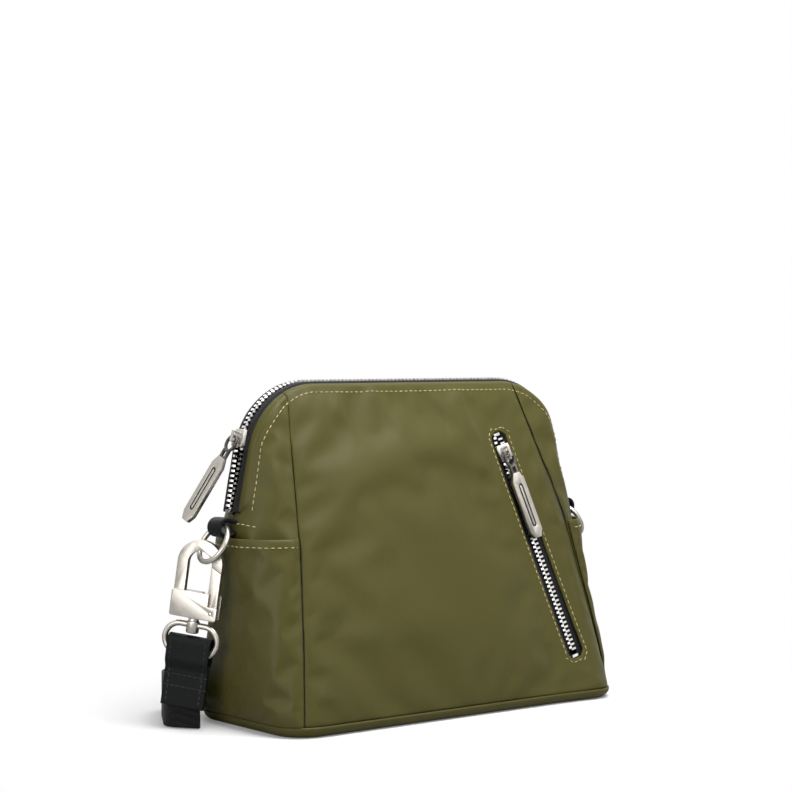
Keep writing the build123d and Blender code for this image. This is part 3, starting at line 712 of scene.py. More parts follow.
def edge_distance(bm):
    """How many steps each corner is from the panel's edge."""
    steps = {corner: 0 for corner in bm.verts if corner.is_boundary}
    layer = list(steps)
    while layer:
        following = []
        for corner in layer:
            for link in corner.link_edges:
                other = link.other_vert(corner)
                if other not in steps:
                    steps[other] = steps[corner] + 1
                    following.append(other)
        layer = following
    return steps


def blow(mesh, pins, slack, pressure, limit):
    """Run cloth on a mesh with its pinned corners held, and give each corner's move, at most limit."""
    piece = add_object("cloth", mesh.copy())
    piece.vertex_groups.new(name="held").add(pins, 1.0, "REPLACE")
    cloth = piece.modifiers.new("cloth", "CLOTH")
    for setting, value in CLOTH.items():
        setattr(cloth.settings, setting, value)
    cloth.settings.shrink_min = -slack
    cloth.settings.uniform_pressure_force = pressure
    cloth.settings.effector_weights.gravity = 0
    cloth.collision_settings.use_collision = False
    cloth.point_cache.frame_start = 1
    cloth.point_cache.frame_end = CLOTH_FRAMES
    for number in range(1, CLOTH_FRAMES + 1):
        bpy.context.scene.frame_set(number)
    shaped = piece.evaluated_get(bpy.context.evaluated_depsgraph_get())
    moves = []
    for before, after in zip(mesh.vertices, shaped.data.vertices):
        move = after.co - before.co
        if move.length > limit:
            move *= limit / move.length
        moves.append(move)
    bpy.data.objects.remove(piece)
    bpy.context.scene.frame_set(1)
    return moves


def outward(bm, middle):
    """Turn the faces by which way they look from the bag's middle. Known fault: lay_out leaves every
    normal pointing up, so back_cloth, main_tape_back and slip_pocket_right come out facing inwards,
    and the back is blown in through the lining. bm.normal_update() as the first line mends it."""
    total = sum((face.calc_center_median() - middle).dot(face.normal) * face.calc_area() for face in bm.faces)
    if total < 0:
        bmesh.ops.reverse_faces(bm, faces=bm.faces)
    bm.normal_update()


def hem_corners(bm):
    """The numbers of the corners of the hem along the zip, which the cloth simulation holds."""
    bm.verts.index_update()
    return {
        corner.index for corner in bm.verts
        if corner.co.z > PART_AT * MM and past_arch(corner.co) > -0.8
        and abs(corner.co.y - ZIP_Y * MM) < 14 * MM
    }


def billow(bm, slack, pressure, limit, hem=(), held_by=None):
    """Simulate one panel, held along its edges and hem and wherever held_by is small."""
    outward(bm, INSIDE)
    bm.verts.index_update()
    steps = edge_distance(bm)
    pins = [corner.index for corner in bm.verts if steps[corner] == 0 or corner.index in hem]
    if held_by is not None:
        pins += [corner.index for corner in bm.verts if held_by(corner.co) < HELD_FLAT]
    mesh = bpy.data.meshes.new("trial")
    bm.to_mesh(mesh)
    moves = blow(mesh, pins, slack, pressure, limit)
    bm.verts.ensure_lookup_table()
    for corner, move in zip(bm.verts, moves):
        corner.co += move


# %% Seams, folds and crinkles
PUCKER_DEEP, PUCKER_BELOW, PUCKER_WIDE = 0.35 * MM, 3.0 * MM, 4.0 * MM
CRINKLE = 0.12 * MM


def fold(start_at, end_at, wide, high):
    """One soft fold between two points, in millimetres. A negative height is a dip."""
    return Vector(start_at) * MM, Vector(end_at) * MM, wide * MM, high * MM


def form_fold(front, x0, z0, x1, z1, wide, high):
    """A fold on the front or back panel, from one place across and up it to another."""
    ends = [on_form(z, round_to(z, x), copysign(1, x), front) for x, z in ((x0, z0), (x1, z1))]
    return fold(*ends, wide, high)


def ridge(point, start_at, end_at, wide, high):
    """The height of one soft fold, which runs from start to end and fades at both."""
    line = end_at - start_at
    share = (point - start_at).dot(line) / line.length_squared
    if not -0.2 < share < 1.2:
        return 0.0
    off = (point - start_at - line * share).length / wide
    fade = sin(pi * min(1.0, max(0.0, (share + 0.2) / 1.4))) ** 1.5
    return high * fade * exp(-off * off) * (1 - 0.6 * off * off)


def form_out(point):
    """The way out of the form at a point near it, so that two panels move together at their seam."""
    z = min(HEIGHT, point.z / MM)
    side = -1 if point.x < 0 else 1
    front = -1 if point.y / MM < ZIP_Y * z / HEIGHT else 1
    around = round_to(z, point.x / MM)
    return on_form(z, around, side, front, 1) - on_form(z, around, side, front)


def pucker(point):
    """The small gathers that the hem's stitching pulls into the cloth."""
    below = -past_arch(point) * MM
    if below < -MM or point.z < PART_AT * MM:
        return 0.0
    fade = exp(-(((below - PUCKER_BELOW) / PUCKER_WIDE) ** 2))
    return PUCKER_DEEP * fade * noise.noise(Vector((point.x * 170, point.z * 170, point.y * 60)))


def shape_cloth(bm, folds, seam_in=0.5 * MM, held_by=None):
    """Draw the cloth in along its seams and lay folds and a fine crinkle over it."""
    bm.normal_update()
    steps = edge_distance(bm)
    moves = {}
    for corner in bm.verts:
        free = 1 - exp(-((steps[corner] / 2.6) ** 2))
        lift = form_out(corner.co) * -seam_in * exp(-((steps[corner] / 1.2) ** 2))
        rough = noise.fractal(corner.co * 45, 0.6, 2.0, 3) * CRINKLE
        high = sum(ridge(corner.co, *item) for item in folds)
        quiet = 1.0 if held_by is None else min(1.0, held_by(corner.co) / (12 * MM))
        moves[corner] = lift + corner.normal * (free * quiet * (rough + high) + pucker(corner.co))
    for corner, move in moves.items():
        corner.co += move


def thicken(piece, thickness):
    """Give a sheet its thickness and smooth it."""
    add_wall(piece, thickness)
    smooth = piece.modifiers.new("smooth", "SUBSURF")
    smooth.levels = smooth.render_levels = 1


def finish_cloth(name, bm, stands_for, thickness=1.5 * MM):
    """A padded panel with its thickness, smoothed."""
    piece = finish_piece(name, bm, olive, "bag", "nylon", stands_for)
    thicken(piece, thickness)
    return piece


# %% Lay out a panel between two seams, with its top edge turned over
FOLD = (6.0, -0.7)  # the folded edge's place: off the chain's middle, and out from its level
TURNED = (0.0, 0.3, 0.55, 0.78, 1.0, 1.25, 1.5)  # shares of the way to the fold, and under it
TURNS = len(TURNED) - 1
PANEL_COLUMNS, PANEL_ROWS = 80, 68


def turned_edge(edge, step, out_x, out_z):
    """A point of the hem along the zip: it rises from the panel's edge to the fold beside the teeth,
    and turns under."""
    share = TURNED[step]
    front = -1 if edge.y < ZIP_Y else 1
    off = abs(edge.y - ZIP_Y)
    if share <= 1:
        rise = lerp(-DROP, FOLD[1], sin(share * pi / 2))
        off = lerp(off, FOLD[0], 1 - cos(share * pi / 2))
    else:
        rise = FOLD[1] - 3.2 * (share - 1)
        off = FOLD[0] + 1.6 * (share - 1) ** 2
    up = rise + DROP
    return Vector((edge.x + out_x * up, ZIP_Y + front * off, edge.z + out_z * up))


def panel_point(front):
    """The layout of the front or back panel, as lay_out wants it."""
    def where(column, row):
        across = 2 * column / PANEL_COLUMNS - 1
        side = -1 if across < 0 else 1
        step = row - (PANEL_ROWS - TURNS)
        rise = min(1.0, row / (PANEL_ROWS - TURNS))
        x = across * seam_x(lerp(BAND, seam_top(side, front), rise), side, front)
        z = lerp(BAND, arch_z(x), rise)
        point = on_form(z, round_to(z, x), copysign(1, across), front)
        if step >= 0:
            point = turned_edge(point, step, *arch_out(x, z))
        return point * MM, Vector((x, z + max(0, step))) * MM

    return where


# %% [markdown]
# ## Front and back panels
# The front panel has a slanted window for the pocket zip. Its place and slant come from the joints of
# the zip's slider and pull. Both panels carry a few slack folds that hang from the zip.

# %% The slanted pocket zip's own plane
EYE_ABOVE = 2.6 * MM  # from the panel's face to the axis of the pull
EYE_DOWN = 13.0 * MM  # from the window's top to it, at rest
ZIP_LONG = 141.9 * MM
WINDOW = 6.0 * MM
CLIP = 3.0 * MM
zip_down = Vector(joints["pocket_zip_travel"]["axis"]).normalized()
zip_across = -Vector(joints["pocket_pull_swing"]["axis"]).normalized()
panel_out = zip_down.cross(zip_across)
if panel_out.y > 0:
    panel_out.negate()
zip_top = Vector(joints["pocket_pull_swing"]["pos_m"]) - panel_out * EYE_ABOVE - zip_down * EYE_DOWN


def on_zip(down, across):
    """A point on the pocket zip's plane."""
    return zip_top + zip_down * down + zip_across * across


def zip_distance(point):
    """How far a point is from the pocket zip's window, 0 inside it."""
    down, across = ((point - zip_top).dot(axis) for axis in (zip_down, zip_across))
    past_end = max(0.0, -down, down - ZIP_LONG)
    return hypot(past_end, max(0.0, abs(across) - WINDOW))


# %% Front panel
bm = bmesh.new()
lay_out(bm, PANEL_COLUMNS, PANEL_ROWS, panel_point(-1))
billow(bm, 0.005, 2.0, 6 * MM, hem_corners(bm), zip_distance)
shape_cloth(bm, [
    form_fold(-1, -62, 183, -50, 160, 5, 1.3),
    form_fold(-1, -30, 184, -8, 152, 6, 1.4),
    form_fold(-1, 6, 185, 22, 150, 6, -1.0),
    form_fold(-1, 30, 185, 40, 158, 5, 1.2),
    form_fold(-1, 48, 170, 34, 120, 8, 1.0),
    form_fold(-1, 80, 172, 92, 110, 4, 1.2),
    form_fold(-1, 93, 120, 104, 40, 4, 1.0),
    form_fold(-1, -104, 52, -84, 56, 3, 0.8),
    form_fold(-1, -105, 38, -82, 36, 3, 0.8),
    form_fold(-1, -106, 24, -86, 18, 3.5, 0.8),
], held_by=zip_distance)

# %% Cut the window for the pocket zip
CUT_NEAR = 6.0 * MM  # only faces this near the window are cut
corner_list = [(0, WINDOW - CLIP), (CLIP, WINDOW), (ZIP_LONG - CLIP, WINDOW), (ZIP_LONG, WINDOW - CLIP)]
outline = corner_list + [(down, -across) for down, across in reversed(corner_list)]
outline_edges = list(zip(outline, outline[1:] + outline[:1]))


def inside_window(point):
    down, across = ((point - zip_top).dot(axis) for axis in (zip_down, zip_across))
    return all(
        (d1 - d0) * (across - a0) - (a1 - a0) * (down - d0) <= 0 for (d0, a0), (d1, a1) in outline_edges
    )


for (d0, a0), (d1, a1) in outline_edges:
    cut = (zip_down * (d1 - d0) + zip_across * (a1 - a0)).cross(panel_out).normalized()
    faces = [face for face in bm.faces if zip_distance(face.calc_center_median()) < CUT_NEAR]
    parts = faces + list({edge for face in faces for edge in face.edges})
    parts += list({corner for face in faces for corner in face.verts})
    bmesh.ops.bisect_plane(bm, geom=parts, dist=0.00001, plane_co=on_zip(d0, a0), plane_no=cut)
gone = [face for face in bm.faces if inside_window(face.calc_center_median())]
bmesh.ops.delete(bm, geom=gone, context="FACES")
print("window cut,", len(gone), "faces gone")
front_panel = finish_cloth("front_cloth", bm, "front_panel")

# %% Back panel
bm = bmesh.new()
lay_out(bm, PANEL_COLUMNS, PANEL_ROWS, panel_point(1))
billow(bm, 0.005, 2.0, 6 * MM, hem_corners(bm))
shape_cloth(bm, [
    form_fold(1, -55, 184, -40, 150, 6, 1.2),
    form_fold(1, 20, 185, 30, 148, 7, 1.2),
    form_fold(1, -100, 40, -60, 60, 5, 1.0),
    form_fold(1, 100, 50, 64, 70, 6, 1.0),
])
back_panel = finish_cloth("back_cloth", bm, "back_panel")

# %% [markdown]
# ## Side panels
# Each side is one panel that wraps round the corner from the front seam to the back seam. Above the
# tab it parts into two lobes, one on each side of the zip. Two layouts, front and back, are joined
# along the middle of the side.

# %% Lay out half a side
LOBE_COLUMNS, LOBE_ROWS = 30, 60
LOW_ROWS = 36  # of them below where the lobes part


def lobe(side, front):
    """The layout of half a side panel, from its seam to the middle of the side or to the zip."""
    top = seam_top(side, front)

    def where(column, row):
        step = column - (LOBE_COLUMNS - TURNS)
        share = min(1.0, column / (LOBE_COLUMNS - TURNS))
        if row <= LOW_ROWS:
            z = lerp(BAND, PART_AT, row / LOW_ROWS)
            around = lerp(round_to(z, seam_x(z, side, front)), nose(z), share)
        else:
            rise = (row - LOW_ROWS) / (LOBE_ROWS - LOW_ROWS)
            z_seam = lerp(PART_AT, top, rise)
            z_edge = lerp(PART_AT, top, sin(rise * pi / 2) ** 0.9)
            z = min(lerp(z_seam, z_edge, share), top)
            first = round_to(z_seam, seam_x(z_seam, side, front))
            around = lerp(first, round_to(z_edge, arch_x(z_edge)), share)
        point = on_form(z, around, side, front)
        if row > LOW_ROWS and share == 1.0:
            edge_x = arch_x(z)
            point = on_form(z, round_to(z, edge_x), side, front)
            point = turned_edge(point, step, *arch_out(side * edge_x, z))
        return point * MM, Vector((around + max(0, step), z)) * MM

    return where


def side_cloth(side):
    """Both halves of a side panel, joined up the middle below the zip."""
    whole = bmesh.new()
    for front in (-1, 1):
        half = bmesh.new()
        lay_out(half, LOBE_COLUMNS, LOBE_ROWS, lobe(side, front))
        add_mesh(whole, half)
    bmesh.ops.remove_doubles(whole, verts=whole.verts, dist=0.00005)
    bmesh.ops.recalc_face_normals(whole, faces=whole.faces)
    return whole


side_panels = {}
for name, side in SIDES:
    bm = side_cloth(side)
    billow(bm, 0.006, 2.0, 4 * MM, hem_corners(bm))
    shape_cloth(bm, [
        fold((side * 96, -14, 165), (side * 112, -18, 125), 5, 0.9),
        fold((side * 96, 26, 165), (side * 112, 30, 125), 5, 0.9),
    ], seam_in=0.4 * MM)
    side_panels[name] = finish_cloth(f"side_cloth_{name}", bm, f"side_panel_{name}")
    print("side panel", name, len(side_panels[name].data.polygons), "faces")

# %% [markdown]
# ## Slip pockets
# A slip pocket is a second skin over the lower side, sewn into both side seams. Its hem is folded
# over and stands a little open. Tension from the seams pulls slanting folds into it.

# %% Side pockets
HEM = 105.5
FLARE_FROM = 62.0
FLARE = 1.4
POCKET_COLUMNS, POCKET_ROWS = 72, 44
POCKET_FOLDS = (  # from, to, width and height, for the right side
    ((118, -8, 66), (112, -36, 22), 3.2, 1.9),
    ((121, -2, 60), (118, -22, 18), 2.6, 1.7),
    ((122, 6, 58), (120, -10, 24), 2.6, 1.4),
    ((119, -16, 42), (112, -34, 12), 2.2, 1.2),
    ((104, -40, 40), (112, -36, 34), 2.4, 0.9),
    ((106, -42, 26), (114, -36, 20), 2.4, 0.9),
    ((118, 24, 60), (110, 46, 18), 4, 1.2),
    ((108, -30, 80), (100, -44, 40), 7, 0.8),
)


def pocket_out(z):
    """How far the pocket stands off the bag at a height."""
    return 1.7 + FLARE * max(0.0, (z - FLARE_FROM) / (HEM - FLARE_FROM)) ** 1.5


def pocket_across(z, share, side):
    """The front and the place round the section, for a share from the front seam (-1) to the back (1)."""
    front = -1 if share <= 0 else 1
    return front, lerp(nose(z), round_to(z, seam_x(z, side, front)), abs(share))


def pocket_point(side):
    """The layout of a slip pocket, which lies closer along its seams and its foot."""
    def where(column, row):
        share = 2 * column / POCKET_COLUMNS - 1
        z = lerp(BAND, HEM, row / POCKET_ROWS)
        front, around = pocket_across(z, share, side)
        held = min(1.0, (1 - abs(share)) / 0.12, 0.25 + (z - BAND) / 12)
        point = on_form(z, around, side, front, pocket_out(z) * held**0.7 + 0.15)
        return point * MM, Vector((copysign(nose(z) - around, share), z)) * MM

    return where


pockets = {}
for name, side in SIDES:
    bm = bmesh.new()
    lay_out(bm, POCKET_COLUMNS, POCKET_ROWS, pocket_point(side))
    billow(bm, 0.006, 1.5, 3 * MM)
    turn = Vector((side, 1, 1))
    folds = [fold(Vector(a) * turn, Vector(b) * turn, wide, high) for a, b, wide, high in POCKET_FOLDS]
    shape_cloth(bm, folds, seam_in=0.3 * MM)
    pockets[name] = finish_cloth(f"slip_pocket_{name}", bm, f"side_pocket_{name}", 1.2 * MM)
print("slip pockets", [round(HEM - BAND, 1), FLARE], "mm high and flared")

# %% [markdown]
# ## Base
# The base is one flat panel whose edge turns up by a few millimetres to the seam all round. It is
# laid out as rings from the seam down round the lower edge and in across the bottom.

# %% Base panel
RINGS = (  # height and how far in from the form
    (6.2, 0.1), (5.2, -0.2), (3.6, 0.2), (1.9, 1.4), (0.7, 3.0), (0.1, 5.0), (0.05, 9.0), (0.05, 14.0)
)
AROUND = 240


def base_point(column, row):
    """Four quarters round the bag, each from the middle of the front or back to a side's middle."""
    z, inset = RINGS[row]
    quarter, share = divmod(4 * (column % AROUND) / AROUND, 1)
    side, front = ((1, -1), (1, 1), (-1, 1), (-1, -1))[int(quarter)]
    share = share if quarter in (0, 2) else 1 - share
    point = on_form(BAND, nose(BAND) * share, side, front, -inset)
    return Vector((point.x, point.y, z)) * MM, Vector((point.x, point.y)) * MM


bm = bmesh.new()
lay_out(bm, AROUND, len(RINGS) - 1, base_point)
bmesh.ops.remove_doubles(bm, verts=bm.verts, dist=0.00002)
loose = [edge for edge in bm.edges if edge.is_boundary and edge.verts[0].co.z < MM]
bmesh.ops.contextual_create(bm, geom=loose)
outward(bm, Vector((0, 0, 30)) * MM)
base = finish_piece("base_cloth", bm, olive, "bag", "nylon", "base_panel")
add_wall(base, 1.5 * MM)
print("base", len(base.data.polygons), "faces")

# %% [markdown]
# ## Zip tapes
# Woven tape shows between the teeth and the cloth's folded edge. It is a strip laid along the chain,
# flat beside the teeth and folded down where it goes under the cloth. Between the stop and the slider
# both tapes stand apart in a narrow V.

# %% Points along the main zip
SIDE_RUN = hypot(ZIP_END[0] - ARCH_MEET, HEIGHT - ZIP_END[1]) - ARCH_R * (1 - sin(TILT)) / cos(TILT)
CORNER_RUN = ARCH_R * (pi / 2 - TILT)
CHAIN = 2 * SIDE_RUN + 2 * CORNER_RUN + 2 * CORNER[0]
GAPE, CLOSED_IN = 1.7, 10.0  # how far each tape stands off at the slider, and how soon past it they meet


def chain_at(along):
    """A point on the main zip's chain and the direction out of it, from its left end."""
    if along > CHAIN / 2:
        point, out = chain_at(CHAIN - along)
        return Vector((-point.x, point.y, point.z)), Vector((-out.x, out.y, out.z))
    if along < SIDE_RUN:
        start_at = Vector((-ZIP_END[0], ZIP_Y, ZIP_END[1]))
        return start_at + Vector((sin(TILT), 0, cos(TILT))) * along, Vector((-cos(TILT), 0, sin(TILT)))
    if along < SIDE_RUN + CORNER_RUN:
        turn = TILT + (along - SIDE_RUN) / ARCH_R
        out = Vector((-cos(turn), 0, sin(turn)))
        return Vector((-CORNER[0], ZIP_Y, CORNER[1])) + out * ARCH_R, out
    return Vector((-CORNER[0] + along - SIDE_RUN - CORNER_RUN, ZIP_Y, HEIGHT)), Vector((0, 0, 1))


def opening(along, until):
    """How far each tape stands off the middle of the chain."""
    if along < until:
        return GAPE * along / until
    return max(0.0, GAPE * (1 - (along - until) / CLOSED_IN))


print("main chain", round(CHAIN, 1), "mm")

# %% Main zip tapes
TAPE_ACROSS = (  # off the chain's middle, and out of it
    (2.55, -0.3), (2.55, 0.45), (3.4, 0.4), (4.6, 0.4), (5.6, 0.25), (6.8, -1.5), (7.7, -3.3), (9.4, -4.2)
)
TAPE_ROWS = 180
TAPE_THICK = 0.6 * MM
TAPE_MOVES = 5.0  # the part of a tape this near the chain opens with it


def main_tape(front):
    """The layout of one tape of the main zip."""
    def where(column, row):
        along = CHAIN * row / TAPE_ROWS
        middle, out = chain_at(along)
        off, rise = TAPE_ACROSS[column]
        stretch = opening(along, SIDE_RUN) if off < TAPE_MOVES else 0.0
        point = middle + Vector((0, front * (off + stretch), 0)) + out * rise
        return point * MM, Vector((along, off)) * MM

    return where


for name, front in (("front", -1), ("back", 1)):
    bm = bmesh.new()
    lay_out(bm, len(TAPE_ACROSS) - 1, TAPE_ROWS, main_tape(front))
    outward(bm, INSIDE)
    tape = finish_piece(f"main_tape_{name}", bm, zip_cloth, "bag", "zip_tape", f"main_zip_tape_{name}")
    thicken(tape, TAPE_THICK)

# %% Pocket zip tapes
POCKET_ACROSS = (2.55, 3.4, 4.6, 6.0, 8.0)
POCKET_TAPE = (-2.0, 144.0, 60)  # from and to along the zip, and rows
POCKET_OPEN = 8.0
TAPE_UNDER = 2.1 * MM


def pocket_tape(side):
    """The layout of one tape of the pocket zip."""
    low, high, rows = POCKET_TAPE

    def where(column, row):
        along = (high - low) * row / rows + low
        off = POCKET_ACROSS[column]
        stretch = opening(max(0.0, along), POCKET_OPEN) if off < TAPE_MOVES else 0.0
        place = on_zip(along * MM, side * (off + stretch) * MM)
        return place - panel_out * TAPE_UNDER, Vector((along, off)) * MM

    return where


bm = bmesh.new()
for side in (-1, 1):
    half = bmesh.new()
    lay_out(half, len(POCKET_ACROSS) - 1, POCKET_TAPE[2], pocket_tape(side))
    if half.faces[:][0].normal.dot(panel_out) < 0:
        bmesh.ops.reverse_faces(half, faces=half.faces)
    add_mesh(bm, half)
tape = finish_piece("pocket_tape", bm, zip_cloth, "bag", "zip_tape", "pocket_zip_tapes")
thicken(tape, TAPE_THICK)

# %% [markdown]
# ## Stitching
# Tan thread runs 3 mm inside the foot of the hem along the zip, along both pocket hems and round the
# pocket zip. A stitch is a short capsule, sunk a little into the cloth, and each row is one mesh.

# %% A row of stitches laid on a surface


def surface_of(piece):
    """A search tree of a piece's finished surface."""
    return BVHTree.FromObject(piece, bpy.context.evaluated_depsgraph_get())


def on_surface(points, surface):
    """Each point moved onto the outer side of a surface, with the surface's direction there."""
    placed = []
    for point in points:
        near, facing, _, _ = surface.find_nearest(point)
        if facing.dot(point - INSIDE) < 0:
            facing = -facing
        hit, normal, _, _ = surface.ray_cast(near + facing * 6 * MM, -facing, 14 * MM)
        if hit is not None:
            placed.append((hit, facing if normal.dot(facing) < 0.3 else normal))
    return placed


def sew(name, lines, material, slot, body="bag", long=2.5, gap=1.1, thick=0.55, proud=0.12):
    """Rows of stitches along lines. Each line is a list of points and the surface it lies on."""
    bm = bmesh.new()
    count = 0
    size = Matrix.Diagonal((long / 2 * MM, thick / 2 * MM, thick / 2 * MM, 1))
    capsule = size @ Matrix.Rotation(pi / 2, 4, "Y")
    for points, surface in lines:
        placed = on_surface(points, surface)
        run = 0.0
        for (a, na), (b, nb) in zip(placed, placed[1:]):
            span = (b - a).length
            while run < span:
                share = (run + long * MM / 2) / max(span, 1e-6)
                normal = na.lerp(nb, min(1.0, share)).normalized()
                direction = (b - a).normalized()
                turn = Matrix((direction, normal.cross(direction).normalized(), normal)).transposed().to_4x4()
                place = Matrix.Translation(a.lerp(b, share) + normal * proud * MM) @ turn
                bmesh.ops.create_uvsphere(bm, u_segments=6, v_segments=5, radius=1.0, matrix=place @ capsule)
                count += 1
                run += (long + gap) * MM
            run -= span
    print(name, count, "stitches")
    finish_piece(name, bm, material, body, slot)


# %% Tan stitching along the main zip
STITCH_IN = 2.8
HEM_STEPS = 120
surfaces = {-1: surface_of(front_panel), 1: surface_of(back_panel)}
for name, side in SIDES:
    surfaces[name] = surface_of(side_panels[name])
lines = []
hem = []
for step in range(HEM_STEPS + 1):
    middle, out = chain_at(CHAIN * step / HEM_STEPS)
    foot = middle - out * DROP
    hem.append(Vector((copysign(round_to(foot.z, foot.x), foot.x), foot.z)))
for front in (-1, 1):
    runs = {"left": [], front: [], "right": []}
    for before, here, after in zip(hem, hem[1:], hem[2:]):
        along = (after - before).normalized()
        inwards = Vector((along.y, -along.x))
        if inwards.dot(Vector((0, 90)) - here) < 0:
            inwards.negate()
        around, z = here + inwards * STITCH_IN
        if z < PART_AT + 1:
            continue
        side = -1 if around < 0 else 1
        point = on_form(z, around, side, front) * MM
        beyond = abs(point.x) > seam_x(z, side, front) * MM
        key = front if not beyond else ("left" if side < 0 else "right")
        runs[key].append(point)
    lines += [(points, surfaces[key]) for key, points in runs.items() if len(points) > 1]
print(len(lines), "rows along the zip")

# %% Tan stitching along the slip pockets' hems, above the tabs and round the pocket zip
HEM_ROW = HEM - 4.5
TAB_ROW = 113.0
ROUND_ZIP = 1.9 * MM
for name, side in SIDES:
    points = []
    for column in range(1, POCKET_COLUMNS):
        front, around = pocket_across(HEM_ROW, 2 * column / POCKET_COLUMNS - 1, side)
        points.append(on_form(HEM_ROW, around, side, front, pocket_out(HEM_ROW) + 1) * MM)
    lines.append((points, surface_of(pockets[name])))
for name, side in SIDES:
    for steps in (range(-22, -7, 2), range(8, 23, 2)):
        lines.append(([Vector((side * 121, ZIP_Y + y, TAB_ROW)) * MM for y in steps], surfaces[name]))
ring = []
for down, across in outline + outline[:1]:
    beyond = ROUND_ZIP if down > ZIP_LONG / 2 else -ROUND_ZIP
    ring.append(on_zip(down + beyond, across + copysign(ROUND_ZIP, across)) + panel_out * MM)
dense = []
for a, b in zip(ring, ring[1:]):
    parts = max(1, ceil((b - a).length / (4 * MM)))
    dense += [a.lerp(b, k / parts) for k in range(parts)]
lines.append((dense + dense[:1], surfaces[-1]))
sew("tan_stitching", lines, tan_thread, "nylon")

# %% [markdown]
# ## Leather
# The tabs and strap ends are doubled leather with painted edges. Each is one strip laid along its
# path, so its inside and outside are true. A strap end has a shallow crease pressed in near both edges.

# %% A strap end's path
WIDE = 25.0
END_TOP, END_FOOT = -24.3, -64.2  # up the clasp from its swivel's joint
LOOP_R, LAYER = 3.0, 0.9  # the loop round the strap ring, and the middle of each layer below it
LOOP_UP = END_TOP - LAYER - LOOP_R
SEWN_FROM, LOOP_TO = -43.5, -38.0
STRAIGHT = 0.42  # the share of the path that one layer takes
END_COLUMNS, END_ROWS = 24, 100
CREASE_AT, CREASE_WIDE, CREASE_DEEP, PUFF = 10.0, 0.55, 0.28, 0.25


def end_path(share):
    """A place on the folded strip's middle line: out of the face, and up the clasp. It starts at the
    foot of the front layer and ends at the foot of the back one."""
    if share > 0.5:
        out, up = end_path(1 - share)
        return -out, up
    if share >= STRAIGHT:
        turn = (share - STRAIGHT) / (0.5 - STRAIGHT) * pi / 2
        return LOOP_R * cos(turn), LOOP_UP + LOOP_R * sin(turn)
    up = lerp(END_FOOT, LOOP_UP, share / STRAIGHT)
    if up < SEWN_FROM:
        return LAYER, up
    ease = min(1.0, (up - SEWN_FROM) / (LOOP_TO - SEWN_FROM))
    return lerp(LAYER, LOOP_R, ease * ease * (3 - 2 * ease)), up


def end_point(origin, across, up, face):
    """The layout of a strap end that hangs from a place, along these directions."""
    def where(column, row):
        x = (column / END_COLUMNS - 0.5) * WIDE
        out, high = end_path(row / END_ROWS)
        crease = CREASE_DEEP * exp(-(((abs(x) - CREASE_AT) / CREASE_WIDE) ** 2))
        layer = 1 if row < END_ROWS / 2 else -1
        out += layer * (PUFF * cos(x / WIDE * pi) - crease)
        return origin + (across * x + up * high + face * out) * MM, Vector((x, row * 0.8)) * MM

    return where


# %% Strap ends
for name, _ in SIDES:
    swivel = joints[f"swivel_turn_{name}"]
    origin, up = Vector(swivel["pos_m"]), Vector(swivel["axis"]).normalized()
    face = Vector(joints[f"clasp_swing_{name}"]["axis"]).normalized()
    if up.z < 0:
        up.negate()
    if face.y > 0:
        face.negate()
    across = up.cross(face)
    bm = bmesh.new()
    lay_out(bm, END_COLUMNS, END_ROWS, end_point(origin, across, up, face))
    bm.faces.ensure_lookup_table()
    if bm.faces[10].normal.dot(face) < 0:
        bmesh.ops.reverse_faces(bm, faces=bm.faces)
    body = f"strap_end_body_{name}"
    strip = finish_piece(f"strap_end_leather_{name}", bm, leather, body, "leather", f"strap_end_{name}")
    add_wall(strip, 1.55 * MM, 0)
    ease_edges(strip, 0.35 * MM)
    threads = [[(x, level) for x in range(-11, 12, 2)] for level in (-46.5, -53.0)]
    threads += [[(x, z) for z in range(-62, -28, 3)] for x in (-10.0, 10.0)]
    skin = surface_of(strip)
    rows = [
        ([origin + (across * x + up * z + face * layer * 3) * MM for x, z in places], skin)
        for places in threads for layer in (1, -1)
    ]
    sew(f"strap_end_thread_{name}", rows, black_thread, "leather", body, 2.4, 0.8, 0.4, 0.0)

# %% Tabs
TAB_OUT = (127.0, 111.0)  # the middle of the loop: out to the side, and up
TAB_LOOP, TAB_PINCH = 4.5, 2.1  # the loop's radius, and the legs' distance from its middle at the bag
TAB_LEG = 9.0
TAB_WIDE, TAB_SPREAD = 12.0, 17.0  # at the loop, and where the legs meet the bag
TAB_COLUMNS, TAB_ROWS = 10, 40


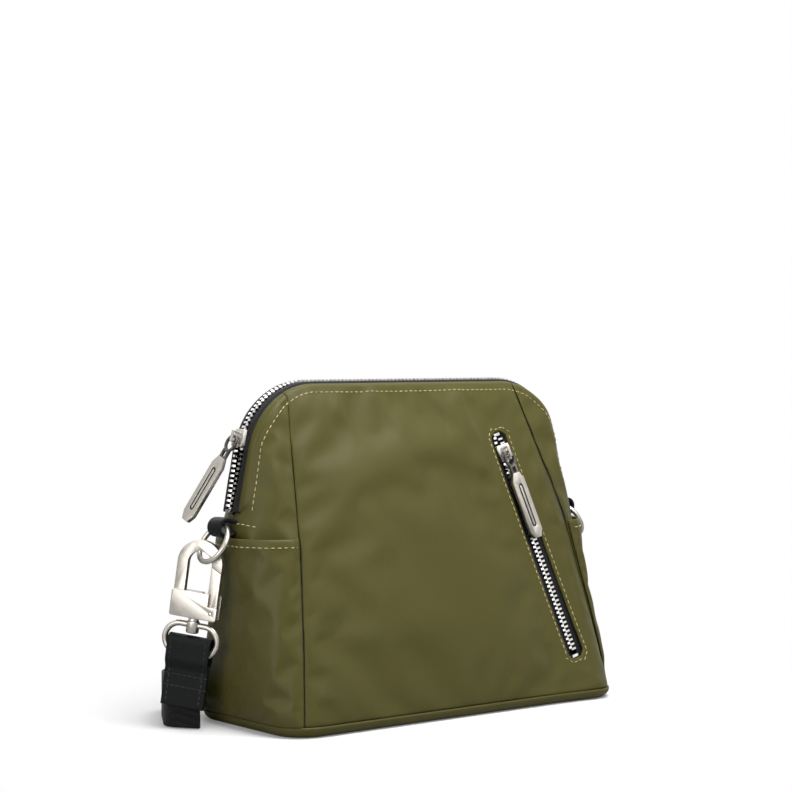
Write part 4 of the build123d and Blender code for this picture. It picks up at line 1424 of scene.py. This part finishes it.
def tab_point(side):
    """The layout of a tab: a leg, half a turn round the side ring and a leg back."""
    def where(column, row):
        share = row / TAB_ROWS
        leg = -TAB_LEG * max(0.0, 1 - share / 0.25, (share - 0.75) / 0.25)
        closing = (leg / TAB_LEG) ** 2
        y = (column / TAB_COLUMNS - 0.5) * lerp(TAB_WIDE, TAB_SPREAD, closing)
        turn = min(1.0, max(0.0, (share - 0.25) / 0.5)) * pi - pi / 2
        x = leg + TAB_LOOP * cos(turn)
        z = lerp(TAB_LOOP, TAB_PINCH, min(1.0, closing * 1.6)) * sin(turn)
        puffed = 1 + 0.2 * cos(y / TAB_WIDE * pi) / (hypot(x, z) or 1)
        point = Vector((side * (TAB_OUT[0] + x * puffed), ZIP_Y + y, TAB_OUT[1] + z * puffed))
        return point * MM, Vector((y, row * 0.7)) * MM

    return where


for name, side in SIDES:
    bm = bmesh.new()
    lay_out(bm, TAB_COLUMNS, TAB_ROWS, tab_point(side))
    middle = bm.faces[:][200]
    loop_middle = Vector((side * TAB_OUT[0], ZIP_Y, TAB_OUT[1])) * MM
    if middle.normal.dot(middle.calc_center_median() - loop_middle) < 0:
        bmesh.ops.reverse_faces(bm, faces=bm.faces)
    tab = finish_piece(f"tab_leather_{name}", bm, leather, "bag", "leather", f"strap_tab_{name}")
    add_wall(tab, 1.9 * MM, 0)
    ease_edges(tab, 0.4 * MM)

# %% [markdown]
# ## Strap
# The webbing stands on its edge in loose folds behind the bag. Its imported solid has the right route,
# so a copy is sliced into rows over its height, and each row is moved a little so that it waves.
# noise_vector has a new seed in every run, so the wave differs by up to 2 mm from run to run.

# %% Strap
SWAY = 1.2 * MM
SWAY_BEHIND = 50 * MM  # the strap sways only behind this, clear of the bag
bm = from_cad("strap", 1)
low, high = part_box("strap")
cuts = [((0, 0, lerp(low.z, high.z, number / 8)), (0, 0, 1)) for number in range(1, 8)]
cuts += [((number * 0.01, 0, 0), (1, 0, 0)) for number in range(-13, 14)]
for place, normal in cuts:
    parts = bm.verts[:] + bm.edges[:] + bm.faces[:]
    bmesh.ops.bisect_plane(bm, geom=parts, plane_co=place, plane_no=normal)
for corner in bm.verts:
    if corner.co.y > SWAY_BEHIND:
        sway = noise.noise_vector(Vector((corner.co.x * 14, corner.co.y * 30, corner.co.z * 20)))
        corner.co.y += sway.y * SWAY
uv = bm.loops.layers.uv.verify()
for face in bm.faces:
    for loop in face.loops:
        loop[uv].uv = (loop.vert.co.x + loop.vert.co.y * 0.6, loop.vert.co.z)
strap = finish_piece("strap_webbing", bm, webbing, "bag", "webbing", "strap")
ease_edges(strap, 0.5 * MM)
